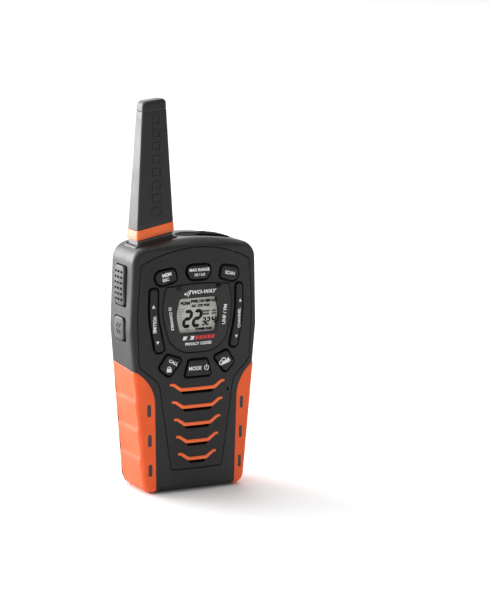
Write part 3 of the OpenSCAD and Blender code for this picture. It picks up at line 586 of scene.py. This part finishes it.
# ---- panel, keys and display
def keypad_panel():
    holes = [grown(k, 0.35) for k in KEYS.values()] + [grown(LENS, 0.15)]
    holes += [slot_outline(i) for i in range(BARS)]
    mic = [(16.8 + 0.7 * math.cos(a), 48.9 + 0.7 * math.sin(a)) for a in np.linspace(0, 2 * math.pi, 17)[:-1]]
    lips = [0.65] * len(KEYS) + [0.5] + [0.35] * BARS + [0.2]
    panel = plate("keypad_panel", PANEL, on_front, PANEL_BLACK, holes=holes + [np.array(mic)], lip=0.5, depth=2.3,
                  hole_lips=lips, spacing=1.2, step=0.4)
    finished(panel, "front_panel")
    ledge = plate("lens_ledge", grown(LENS, 0.4), lambda x, z, d: on_front(x, z, d + 1.05), PANEL_BLACK,
                  holes=[WINDOW], lip=0.1, depth=1.0, hole_depth=1.3)
    finished(ledge)


def keys():
    for name, outline in KEYS.items():
        cap = plate(name + "_cap", grown(outline, -0.4), lambda x, z, d: on_front(x, z, d - KEY_RISE), KEY_BLACK,
                    name, lip=0.65, depth=3.2, spacing=1.0, step=0.35, back=True)
        finished(cap, name)


def printed(name, marks, depth_at, material, body):
    """Ink laid on a front: flat meshes in (across, up), joined into one thin piece as deep as depth_at says."""
    points, faces = [], []
    for spots, polygons in marks:
        base = len(points)
        points += [(u, depth_at(u), v) for u, v in spots]
        faces += [tuple(base + k for k in f) for f in polygons]
    finished(mesh_piece(name, points, faces, material, body))


def lettering(text, size, across, up, turn=0.0, slant=0.0, wide=1.0, bold=0.035):
    """A word as a flat mesh in (across, up), centred on a place."""
    curve = bpy.data.curves.new("word", "FONT")
    curve.body, curve.size, curve.shear = text, size, slant
    curve.align_x, curve.align_y = "CENTER", "CENTER"
    curve.offset = bold * size
    curve.resolution_u = 3
    obj = bpy.data.objects.new("word", curve)
    bpy.context.scene.collection.objects.link(obj)
    mesh = bpy.data.meshes.new_from_object(obj.evaluated_get(bpy.context.evaluated_depsgraph_get()))
    c, s = math.cos(math.radians(turn)), math.sin(math.radians(turn))
    spots = [(across + wide * v.co.x * c - v.co.y * s, up + wide * v.co.x * s + v.co.y * c) for v in mesh.vertices]
    polygons = []
    for f in mesh.polygons:
        corner = [spots[k] for k in f.vertices]
        turned = sum(a[0] * b[1] - b[0] * a[1] for a, b in zip(corner, corner[1:] + corner[:1]))
        polygons.append(tuple(f.vertices) if turned > 0 else tuple(reversed(f.vertices)))
    bpy.data.objects.remove(obj)
    bpy.data.meshes.remove(mesh)
    return spots, polygons


def shape(*points):
    return list(points), [tuple(range(len(points)))]


def block(across, up, half, height):
    return shape((across - half, up), (across + half, up), (across + half, up + height), (across - half, up + height))


def leaning(left, width):
    """A short stripe under the display, leaning to the right."""
    return shape((left, 75.1), (left + width, 75.1), (left + width + 0.5, 76.9), (left + 0.5, 76.9))


def arc_band(across, up, radius, width, start, end, steps=10):
    """A band along an arc, in degrees anticlockwise."""
    spots = []
    for k in range(steps + 1):
        a = math.radians(start + (end - start) * k / steps)
        for r in (radius - width / 2, radius + width / 2):
            spots.append((across + r * math.cos(a), up + r * math.sin(a)))
    return spots, [(2 * k, 2 * k + 1, 2 * k + 3, 2 * k + 2) for k in range(steps)]


def legends():
    words = {
        "mem_key": [lettering("MEM", 2.3, -16.9, 107.5, 13), lettering("ESC", 2.0, -17.3, 105.1, 13)],
        "range_key": [lettering("MAX RANGE", 2.0, 0, 109.1, 0, 0, 0.95), lettering("HI / LO", 1.8, 0.2, 106.7)],
        "scan_key": [lettering("SCAN", 2.2, 17.0, 106.3, -13)],
        "mode_key": [lettering("MODE", 2.5, -1.9, 60.9, 0, 0, 0.95), arc_band(4.3, 61.0, 1.15, 0.4, 125, 415),
                     shape((4.1, 60.9), (4.5, 60.9), (4.5, 62.6), (4.1, 62.6))],
        "call_key": [lettering("CALL", 2.1, -13.3, 64.6, -28),
                     shape((-16.6, 60.0), (-14.2, 60.0), (-14.2, 61.8), (-16.6, 61.8)),
                     arc_band(-15.4, 61.9, 0.8, 0.35, 0, 180)],
        "weather_key": [arc_band(12.6, 62.4, 1.1, 0.45, 60, 270), arc_band(13.9, 63.4, 1.3, 0.5, -20, 170),
                        shape((12.4, 61.1), (17.6, 62.6), (15.2, 63.6), (13.0, 63.0)),
                        shape((15.2, 63.2), (18.0, 62.9), (16.4, 64.9))]}
    for side, key in ((-1, "volume_key"), (1, "channel_key")):
        high, low = side * 23.3, side * 21.2
        words[key] = [lettering("VOLUME" if side < 0 else "CHANNEL", 2.1, side * 22.8, 83.6, 90 * side),
                      shape(*sorted_turn([(high - 0.8, 91.6), (high + 0.8, 91.6), (high, 93.2)])),
                      shape(*sorted_turn([(low - 0.8, 75.4), (low, 73.9), (low + 0.8, 75.4)]))]
    for key, marks in words.items():
        printed(key + "_legend", marks, lambda u: crown(u) - KEY_RISE - INK, PRINT_WHITE, key)


def sorted_turn(points):
    turned = sum(a[0] * b[1] - b[0] * a[1] for a, b in zip(points, points[1:] + points[:1]))
    return points if turned > 0 else points[::-1]


SEGMENTS = {"0": "abcdef", "1": "bc", "2": "abged", "3": "abgcd", "4": "fgbc", "5": "afgcd", "6": "afgcde",
            "7": "abc", "8": "abcdefg", "9": "abcdfg"}


def digit(figure, across, up, w, h, t, lean=0.16):
    """One seven-segment figure, leaning to the right, from its middle."""
    def bar(p, q):
        (x0, z0), (x1, z1) = p, q
        d = np.array((x1 - x0, z1 - z0))
        d = d / np.linalg.norm(d)
        n = np.array((-d[1], d[0])) * t / 2
        a, b = np.array(p) - d * t * 0.08, np.array(q) + d * t * 0.08
        ends = [a, a + d * t / 2 - n, b - d * t / 2 - n, b, b - d * t / 2 + n, a + d * t / 2 + n]
        return [(across + e[0] + lean * e[1], up + e[1]) for e in ends]
    l, r, m = -w / 2, w / 2, h / 2
    lines = {"a": ((l, m), (r, m)), "g": ((l, 0), (r, 0)), "d": ((l, -m), (r, -m)), "f": ((l, 0), (l, m)),
             "b": ((r, 0), (r, m)), "e": ((l, -m), (l, 0)), "c": ((r, -m), (r, 0))}
    return [shape(*sorted_turn(bar(*lines[s]))) for s in SEGMENTS[figure]]


def display():
    """The smoked lens with its clear window, and the liquid crystal behind it."""
    border = plate("lens_border", LENS, lambda x, z, d: on_front(x, z, d - LENS_RISE), LENS_SMOKE, holes=[WINDOW],
                   lip=0.45, depth=1.1, hole_lips=[0.25], step=0.35)
    window = plate("lens_window", grown(WINDOW, -0.02), lambda x, z, d: on_front(x, z, d + 0.02), LENS_CLEAR,
                   lip=0.05, depth=0.7, spacing=3)
    finished(border, "display_lens")
    finished(window)
    glass = plate("lcd_glass", oblong(-12.4, 76.4, 12.4, 97.2, 0.5), lambda x, z, d: (x, GLASS_Y + d, z), LCD_GREY,
                  lip=0.15, depth=2.9, spacing=4, back=True)
    finished(glass, "display_module")

    def on_glass(name, marks, material):
        printed(name, marks, lambda u: GLASS_Y - 0.02, material, "casing")

    sx, sz = 0.4, -0.5
    figures = [digit(figure, across + sx, up + sz, *size) for figure, across, up, size in (
        ("2", -5.0, 85.4, (3.4, 7.2, 1.7)), ("2", 0.2, 85.4, (3.4, 7.2, 1.7)), ("3", 3.7, 83.6, (1.6, 3.3, 0.8)),
        ("2", 6.0, 83.6, (1.6, 3.3, 0.8)), ("4", 9.1, 84.0, (1.7, 3.6, 0.85)))]
    on_glass("lcd_figures", sum(figures, []), LCD_INK)
    small = [lettering(word, size, u + sx, v + sz, 0, 0.1, 1, 0.11) for word, size, u, v in (
        ("SCAN", 1.9, -6.3, 93.0), ("PWR | HI MED LO", 1.7, 3.4, 93.7), ("DC  CTC", 1.5, 0.2, 91.5),
        ("VOX", 1.5, 5.2, 91.5), ("CTC DCS", 1.1, 4.6, 88.6), ("MAX ID", 1.1, 4.6, 87.2),
        ("CH 1", 1.1, 9.2, 88.6), ("CH 2", 1.1, 9.2, 87.2), ("POWER SAVE", 1.45, 3.6, 80.0))]
    on_glass("lcd_words", small, LCD_INK)
    signal = [block(-8.5 + sx, z + sz, 0.5 + 0.45 * k, 0.5) for k, z in enumerate((86.4, 87.6, 88.8, 90.0))]
    signal += [block(-8.5 + sx, 83.6 + sz, 0.25, 2.6), lettering("RX", 1.4, -4.6 + sx, 79.9 + sz)]
    on_glass("lcd_signal", signal, LCD_FAINT)

    def on_lens(name, marks, material):
        printed(name, marks, lambda u: crown(u) - LENS_RISE - INK, material, "casing")

    words = [lettering("TWO-WAY", 2.5, 1.6, 98.2, 0, 0.25, 1.15)]
    words += [arc_band(-6.9, 97.6, radius, 0.35, -50, 50, 8) for radius in (0.9, 1.7)]
    words += [arc_band(-7.1, 97.6, 0.3, 0.6, 0, 360)]
    words += [lettering("22 CHANNELS", 1.8, -14.3, 86.0, -82), lettering("UHF / FM", 2.5, 14.5, 86.2, 84),
              lettering("PRIVACY CODES", 1.9, 0, 73.0)]
    on_lens("lens_words", words, PRINT_WHITE)
    on_lens("lens_stripe_white", [leaning(-8.4, 5.8)], PRINT_WHITE)
    on_lens("lens_stripe_red", [leaning(-2.0 + 2.2 * k, 1.7) for k in range(5)], PRINT_RED)


def speaker_bars():
    for i in range(BARS):
        bar = plate("speaker_bar_%d" % (i + 1), bar_outline(i), lambda x, z, d: on_front(x, z, d - 0.55), BAR_ORANGE,
                    lip=0.5, depth=1.6, spacing=1.0, step=0.3, back=True)
        finished(bar, None if i else "grille_bars")


# ---- grips
def grip_row(z, inner):
    """A line across one grip: over its front at a height, round the edge and back along the side, rising a little."""
    wide = half_width(z)
    inner = min(inner, wide - 0.5)
    path = []
    for q in np.linspace(0, 1, 70):
        x = wide - (wide - inner) * (1 - q) ** 2.4
        path.append((x, front_surface(x, z), z))
    path[-1] = (wide, -10.0, z)
    for y in np.linspace(-9.6, 11.95, 40):
        up = z + (grip_top(y) - grip_top(-10)) * float(ease((z - 20) / 40))
        path.append((half_width(up), y, up))
    return np.array(path)


def grip(side):
    name = "grip_right" if side > 0 else "grip_left"
    line = drawn(GRIP, 0.4)
    line = line[(line[:, 0] < 31.5) & (line[:, 1] > -1)]
    line = line[np.argsort(line[:, 1])]
    heights = np.concatenate((np.linspace(0.05, 59.4, 150), np.linspace(59.6, 60.6, 9)))
    columns = np.concatenate((np.linspace(0, 0.1, 9)[:-1], np.linspace(0.1, 0.9, 56), np.linspace(0.9, 1, 9)[1:]))
    grid, out_at = [], []
    for z in heights:
        path = grip_row(z, float(np.interp(z, line[:, 1], line[:, 0])))
        gaps = np.concatenate(([0], np.cumsum(np.linalg.norm(np.diff(path, axis=0), axis=1))))
        at = columns * gaps[-1]
        grid.append(np.stack([np.interp(at, gaps, path[:, axis]) for axis in range(3)], 1))
        out_at.append(np.stack((at, gaps[-1] - at), 1))
    grid, out_at = np.array(grid), np.array(out_at)
    du, dv = np.gradient(grid, axis=1), np.gradient(grid, axis=0)
    normal = np.cross(du, dv)
    normal /= np.linalg.norm(normal, axis=2)[:, :, None]
    edge = np.minimum(np.minimum(out_at[:, :, 0], out_at[:, :, 1]), grip_top(grid[:, :, 1]) + 0.35 - grid[:, :, 2])
    proud = -0.16 + 0.36 * ease(edge / 0.75)
    rise = np.mod(grid[:, :, 2] - RIDGE_FOOT, RIDGE_PITCH) / RIDGE_PITCH
    valley = np.where(rise < 0.8, 1 - ease(rise / 0.8) ** 0.8, ease((rise - 0.8) / 0.2))
    on_side = ease((grid[:, :, 1] + 12.2) / 3.0) * ease((grip_top(grid[:, :, 1]) - grid[:, :, 2]) / 3.0)
    on_side *= 1 - 0.4 * ease((grid[:, :, 1] - 7.5) / 4.0)
    proud -= RIDGE_DEPTH * valley * on_side
    grid = grid + normal * proud[:, :, None]
    rows, cols = grid.shape[:2]
    points = [(side * p[0], p[1], max(p[2], 0.0)) for row in grid for p in row]
    faces = [(r * cols + c, r * cols + c + 1, (r + 1) * cols + c + 1, (r + 1) * cols + c)
             for r in range(rows - 1) for c in range(cols - 1)]
    if side < 0:
        faces = [tuple(reversed(f)) for f in faces]
    finished(mesh_piece(name + "_rubber", points, faces, RUBBER_ORANGE), name)
    for k in range(3):
        u, v = 25 - 0.4 * k, 41.4 - SLOT_PITCH * k
        corners = oblong(u - 1, v - 3.1, u + 1, v + 3.1, 0.9)
        if side < 0:
            corners = mirrored(corners)
        slot = plate("%s_slot_%d" % (name, k + 1), corners, lambda x, z, d: (x, front_surface(x, z) - 0.22 + d, z),
                     SLOT_DARK, lip=0.12, depth=0.5, spacing=0.8)
        finished(slot)


# ---- side buttons
def dots_tree():
    """Rows of small domes, as a tree with its sizes as inputs."""
    tree = bpy.data.node_groups.new("dome_rows", "GeometryNodeTree")
    face = tree.interface
    face.new_socket("Geometry", in_out="INPUT", socket_type="NodeSocketGeometry")
    for label, kind, value in (("Columns", "NodeSocketInt", 3), ("Rows", "NodeSocketInt", 5),
                               ("Width", "NodeSocketFloat", 0.005), ("Height", "NodeSocketFloat", 0.0104),
                               ("Radius", "NodeSocketFloat", 0.0007), ("Flatness", "NodeSocketFloat", 0.7),
                               ("Material", "NodeSocketMaterial", None)):
        socket = face.new_socket(label, in_out="INPUT", socket_type=kind)
        if value is not None:
            socket.default_value = value
    face.new_socket("Geometry", in_out="OUTPUT", socket_type="NodeSocketGeometry")
    make = node_maker(tree)
    given, result = tree.nodes.new("NodeGroupInput"), tree.nodes.new("NodeGroupOutput")
    grid = make("GeometryNodeMeshGrid", {"Size X": given.outputs["Width"], "Size Y": given.outputs["Height"],
                                         "Vertices X": given.outputs["Columns"], "Vertices Y": given.outputs["Rows"]})
    dome = make("GeometryNodeMeshUVSphere", {"Radius": given.outputs["Radius"], "Segments": 14, "Rings": 8})
    flat = make("ShaderNodeCombineXYZ", {"X": 1.0, "Y": 1.0, "Z": given.outputs["Flatness"]})
    many = make("GeometryNodeInstanceOnPoints", {"Points": grid.outputs["Mesh"], "Instance": dome.outputs["Mesh"],
                                                 "Scale": flat.outputs[0]})
    real = make("GeometryNodeRealizeInstances", {"Geometry": many.outputs["Instances"]})
    painted = make("GeometryNodeSetMaterial", {"Geometry": real.outputs[0], "Material": given.outputs["Material"]})
    tree.links.new(painted.outputs[0], result.inputs[0])
    return tree


def grown_by_tree(name, tree, values, place, body):
    """Runs a geometry tree with its inputs set, and keeps what it makes as a plain mesh put in its place."""
    seed = bpy.data.objects.new(name + "_seed", bpy.data.meshes.new(name + "_seed"))
    bpy.context.scene.collection.objects.link(seed)
    modifier = seed.modifiers.new("grow", "NODES")
    modifier.node_group = tree
    for item in tree.interface.items_tree:
        if item.in_out == "INPUT" and item.name in values:
            modifier[item.identifier] = values[item.name]
    shaped = seed.evaluated_get(bpy.context.evaluated_depsgraph_get())
    mesh = bpy.data.meshes.new_from_object(shaped)
    seed.modifiers.clear()
    bpy.data.objects.remove(seed)
    for v in mesh.vertices:
        v.co = Vector(place(v.co.x / MM, v.co.y / MM, v.co.z / MM)) * MM
    mesh.name = name
    mesh.shade_smooth()
    piece = bpy.data.objects.new(name, mesh)
    bpy.context.scene.collection.objects.link(piece)
    bm = bmesh.new()
    bm.from_mesh(mesh)
    bmesh.ops.recalc_face_normals(bm, faces=bm.faces)
    bm.to_mesh(mesh)
    bm.free()
    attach(piece, body)
    return piece


def side_buttons(dome_rows):
    for name, z, half_h in SIDE_BUTTONS:
        def face(y, v, d, z=z):
            return (-(34.6 - (v - z) ** 2 / 180 - 0.012 * (y - SIDE_Y) ** 2 - d), y, v)
        corners = side_opening(z, half_h - 1.5, 5.5, 0.6)
        cap = plate(name + "_cap", corners, lambda a, b, d: face(a, b, d), BUTTON_BLACK, name, lip=0.6, depth=4.0,
                    spacing=1.0, step=0.35, back=True)
        finished(cap, name)
        # A near-black, dull floor deep in the opening round the button: a dark sheet put in the gap as painted shade.
        rim = plate(name + "_step", side_opening(z, half_h - 0.1, 7.4), lambda a, b, d: face(a, b, d + 3.6),
                    COVER_AND_SHADE_BLACK, name, lip=0.2, depth=0.4, spacing=1.5, step=0.4)
        finished(rim)
        if name == "ptt_button":
            # The domes take the near-black finish, darker than the cap: painted shade for the shadows round each
            # dome.
            grown_by_tree("ptt_button_domes", dome_rows, {"Columns": 3, "Rows": 6, "Width": 0.0064, "Height": 0.0135,
                          "Radius": 0.0006, "Flatness": 1.0, "Material": COVER_AND_SHADE_BLACK},
                          lambda a, b, c: face(SIDE_Y + 0.6 + a, z + b, -c), name)
        else:
            for k, s in ((-1, -1), (-1, 1), (1, -1), (1, 1)):
                low, high = z + s * 0.1, z + s * 2.4
                back, front = SIDE_Y + 1.4 * k + 1.5, SIDE_Y + 1.4 * k - 0.3
                corners = [(back, low, 0.2), (back + 0.1, low + s * 0.9, 0.2), (front + 0.1, high + s * 0.3, 0.2),
                           (front - 0.6, high, 0.2)]
                mark = plate("replay_mark_%d_%d" % (k + 2, s + 2), corners[::s], lambda a, b, d: face(a, b, d - 0.25),
                             RUBBER_BLACK, name, lip=0.15, depth=0.5, spacing=2)
                finished(mark)


# ---- antenna
def antenna_half(z):
    return 9.9 - 3.65 * (z - ANTENNA_FOOT) / ANTENNA_LENGTH


def antenna_deep(half):
    return half * 0.61 + 0.1


def antenna_section(z, out, tilt=0.0, corner=1.25):
    """A section of the flat antenna at a height, its points on a plane that rises across it by tilt."""
    points = []
    for i in range(4):
        for k in range(9):
            a = math.radians(-90 + 90 * i + 90 * k / 8 - 90)
            across, back = (-1, 1, 1, -1)[i], (-1, -1, 1, 1)[i]
            half = antenna_half(z) + out
            half -= 3.6 * tilt * across * half / ANTENNA_LENGTH
            deep = antenna_deep(half)
            u = across * (half - corner) + corner * math.cos(a)
            points.append((ANTENNA_X + u, back * (deep - corner) + corner * math.sin(a), z + tilt * u))
    return points


def antenna():
    tilt, low = 0.2, 125.1
    collar = [(118.0, -0.7, 0.0), (119.6, -0.7, 0.1), (122.6, -0.62, 0.15), (123.2, -0.62, tilt),
              (low - 0.25, -0.62, tilt), (low - 0.05, -0.9, tilt)]
    base = lofted("antenna_collar", [antenna_section(*level) for level in collar], COLLAR_GREY)
    finished(base, "antenna_base")
    foot = oblong(ANTENNA_X - 11.2, -7.6, ANTENNA_X + 11.2, 7.6, 2.2)
    lip = plate("antenna_foot_lip", foot, lambda x, y, d: on_top(x, y, d - 0.7), SHELL_BLACK,
                holes=[grown(foot, -1.25)], lip=0.5, depth=1.4, hole_depth=1.4, spacing=2)
    finished(lip)
    band = ((0, -0.5), (0.05, -0.1), (0.3, 0.12), (4.4, 0.12), (4.65, -0.1), (4.7, -0.5))
    ring = lofted("antenna_band", [antenna_section(low + up, out, tilt) for up, out in band], BAR_ORANGE)
    finished(ring, "antenna_ring")
    start = low + 4.75
    seam, slant = 185.0, 0.12
    root = ((0, -0.5, tilt), (0.03, -0.15, tilt), (0.25, 0, tilt), (2.2, 0, tilt * 0.5))
    rings = [antenna_section(start + up, out, lean) for up, out, lean in root]
    rings += [antenna_section(z, 0) for z in np.linspace(start + 5, seam - 4, 26)]
    groove = ((-0.4, 0), (-0.3, -0.03), (-0.15, -0.16), (0.1, -0.16), (0.3, -0.02), (0.8, 0))
    rings += [antenna_section(seam + up, out, slant) for up, out in groove]
    for a in np.linspace(0, 88, 10):
        a = math.radians(a)
        rings.append(antenna_section(187.9 + 2.2 * math.sin(a), -2.0 * (1 - math.cos(a)), slant))
    sleeve = lofted("antenna_rubber", rings, ANTENNA_RUBBER)
    finished(sleeve, "antenna_sleeve")
    middle, rise, wall = ANTENNA_X + 0.9, 0.42, 0.9
    for k in range(8):
        z, w = 134.5 + 6.2 * k, 2.9 - 0.12 * k

        def frame_line(inset, radius):
            return oblong(middle - w + inset, z + inset, middle + w - inset, z + 4.4 - inset, radius)
        mark = plate("antenna_rib_%d" % (k + 1), frame_line(0, 0.9),
                     lambda a, b, d: (a, d - rise - antenna_deep(antenna_half(b)), b), ANTENNA_RUBBER,
                     holes=[frame_line(wall, 0.4)], lip=0.18, depth=0.5, spacing=3, step=0.3)
        finished(mark)


# ---- the rest of the CAD
def polished(node, material, width=0.15, segments=2, angle=32):
    """A CAD piece kept as it is, with its sharp edges rounded over."""
    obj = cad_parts[node]
    obj.data.materials.clear()
    obj.data.materials.append(material)
    weld = obj.modifiers.new("weld", "WELD")
    weld.merge_threshold = 1e-6
    if width:
        bevel = obj.modifiers.new("round", "BEVEL")
        bevel.width, bevel.segments = width * MM, segments
        bevel.limit_method, bevel.angle_limit = "ANGLE", math.radians(angle)
        bevel.harden_normals = False
    return obj


def cad_pieces():
    for node, material, width in (
            ("rear_housing", SHELL_BLACK, 0.15), ("battery_door", SHELL_BLACK, 0.15), ("door_lock", DARK_STEEL, 0.12),
            ("belt_clip_base", CLIP_BLACK, 0.3), ("belt_clip_arm", CLIP_BLACK, 0.4), ("belt_clip_pin", STEEL, 0.1),
            ("belt_clip_spring", STEEL, 0), ("housing_screws", DARK_STEEL, 0.1), ("housing_seal", RUBBER_GREY, 0),
            ("door_seal", RUBBER_GREY, 0.1), ("charge_contacts", GOLD, 0.1), ("charge_socket", STEEL, 0.1),
            ("audio_jack", STEEL, 0.15), ("speaker_cloth", CLOTH_BLACK, 0), ("display_holder", HOLDER_WHITE, 0.1),
            ("key_membrane", RUBBER_GREY, 0.1), ("circuit_board", BOARD_GREEN, 0.05), ("board_parts", STEEL, 0.15),
            ("microphone", STEEL, 0.1), ("speaker_frame", DARK_STEEL, 0.1), ("speaker_cone", CONE_BLACK, 0),
            ("speaker_magnet", STEEL, 0.15), ("side_board", BOARD_GREEN, 0.05), ("side_switches", STEEL, 0.1),
            ("antenna_coil", COPPER, 0), ("battery_cell_1", CELL_GREEN, 0.3), ("battery_cell_2", CELL_GREEN, 0.3),
            ("battery_cell_3", CELL_GREEN, 0.3), ("battery_springs", STEEL, 0), ("battery_plates", STEEL, 0.08)):
        polished(node, material, width)


# ---- setting
def setting():
    floor_mesh = bpy.data.meshes.new("studio_floor")
    corners = [(x, y, -0.0004) for x, y in ((-6, -6), (6, -6), (6, 6), (-6, 6))]
    floor_mesh.from_pydata(corners, [], [(0, 1, 2, 3)])
    floor = bpy.data.objects.new("studio_floor", floor_mesh)
    bpy.context.scene.collection.objects.link(floor)
    floor_mesh.materials.append(finish("studio_paper", (0.93, 0.93, 0.93), rough=(0.85, 0.9), relief=0, specular=0.1,
                                       even=True, **UNWORN))
    scene = bpy.context.scene
    scene.view_settings.view_transform = "Standard"
    world = bpy.data.worlds.new("studio")
    scene.world = world
    world.use_nodes = True
    make = node_maker(world.node_tree)
    back = world.node_tree.nodes["Background"]
    back.inputs["Color"].default_value = (1, 1, 1, 1)
    toward = make("ShaderNodeTexCoord").outputs["Generated"]
    side = make("ShaderNodeVectorMath", {0: toward, 1: (-0.85, 0.5, 0.15)}, operation="DOT_PRODUCT")
    walls = make("ShaderNodeMapRange", {"Value": side.outputs["Value"], "From Min": -0.8, "From Max": 0.9,
                                        "To Min": 0.5, "To Max": 0.9}, interpolation_type="SMOOTHSTEP")
    seen = make("ShaderNodeLightPath").outputs["Is Camera Ray"]
    glow = make("ShaderNodeMix", {0: seen, 2: walls.outputs["Result"], 3: 1.05})
    world.node_tree.links.new(glow.outputs[0], back.inputs["Strength"])

    def softbox(name, place, size, glow):
        light = bpy.data.lights.new(name, "AREA")
        light.shape, light.size, light.size_y = "RECTANGLE", size[0], size[1]
        light.energy = glow * size[0] * size[1] * math.pi
        obj = bpy.data.objects.new(name, light)
        obj.location = place
        obj.rotation_euler = (Vector((0, 0, 0.09)) - Vector(place)).to_track_quat("-Z", "Y").to_euler()
        scene.collection.objects.link(obj)

    softbox("back_left_softbox", (-0.85, 1.25, 0.42), (1.1, 0.8), 11)
    softbox("left_softbox", (-1.2, 0.45, 0.6), (0.6, 0.9), 1.9)
    softbox("top_softbox", (-0.1, 0.3, 1.3), (1.0, 0.8), 2.0)
    softbox("sweep_softbox", (0.0, 4.0, 2.6), (6.0, 2.5), 2.2)


def camera():
    """The eye stands to the left, above the radio's middle, about 1.1 m away."""
    yaw, pitch, roll = math.radians(27.695), math.radians(10.235), math.radians(0.717)
    turn = np.array([[math.cos(yaw), -math.sin(yaw), 0], [math.sin(yaw), math.cos(yaw), 0], [0, 0, 1]])
    axes = np.array([[1, 0, 0], [0, 0, -1], [0, 1, 0]])
    tip = np.array([[1, 0, 0], [0, math.cos(pitch), -math.sin(pitch)], [0, math.sin(pitch), math.cos(pitch)]])
    lean = np.array([[math.cos(roll), -math.sin(roll), 0], [math.sin(roll), math.cos(roll), 0], [0, 0, 1]])
    right, down, forward = lean @ tip @ axes @ turn
    data = bpy.data.cameras.new("eye")
    data.sensor_width, data.lens = 36, 138
    data.clip_start, data.clip_end = 0.05, 30
    eye = bpy.data.objects.new("eye", data)
    place = Matrix([list(right), list(-down), list(-forward)]).transposed().to_4x4()
    place.translation = Vector((-0.4864, -0.9906, 0.2912))
    eye.matrix_world = place
    bpy.context.scene.collection.objects.link(eye)
    bpy.context.scene.camera = eye


camera()
setting()
front_shell()
keypad_panel()
keys()
display()
speaker_bars()
legends()
grip(-1)
grip(1)
side_buttons(dots_tree())
antenna()
jack_cover()
cad_pieces()
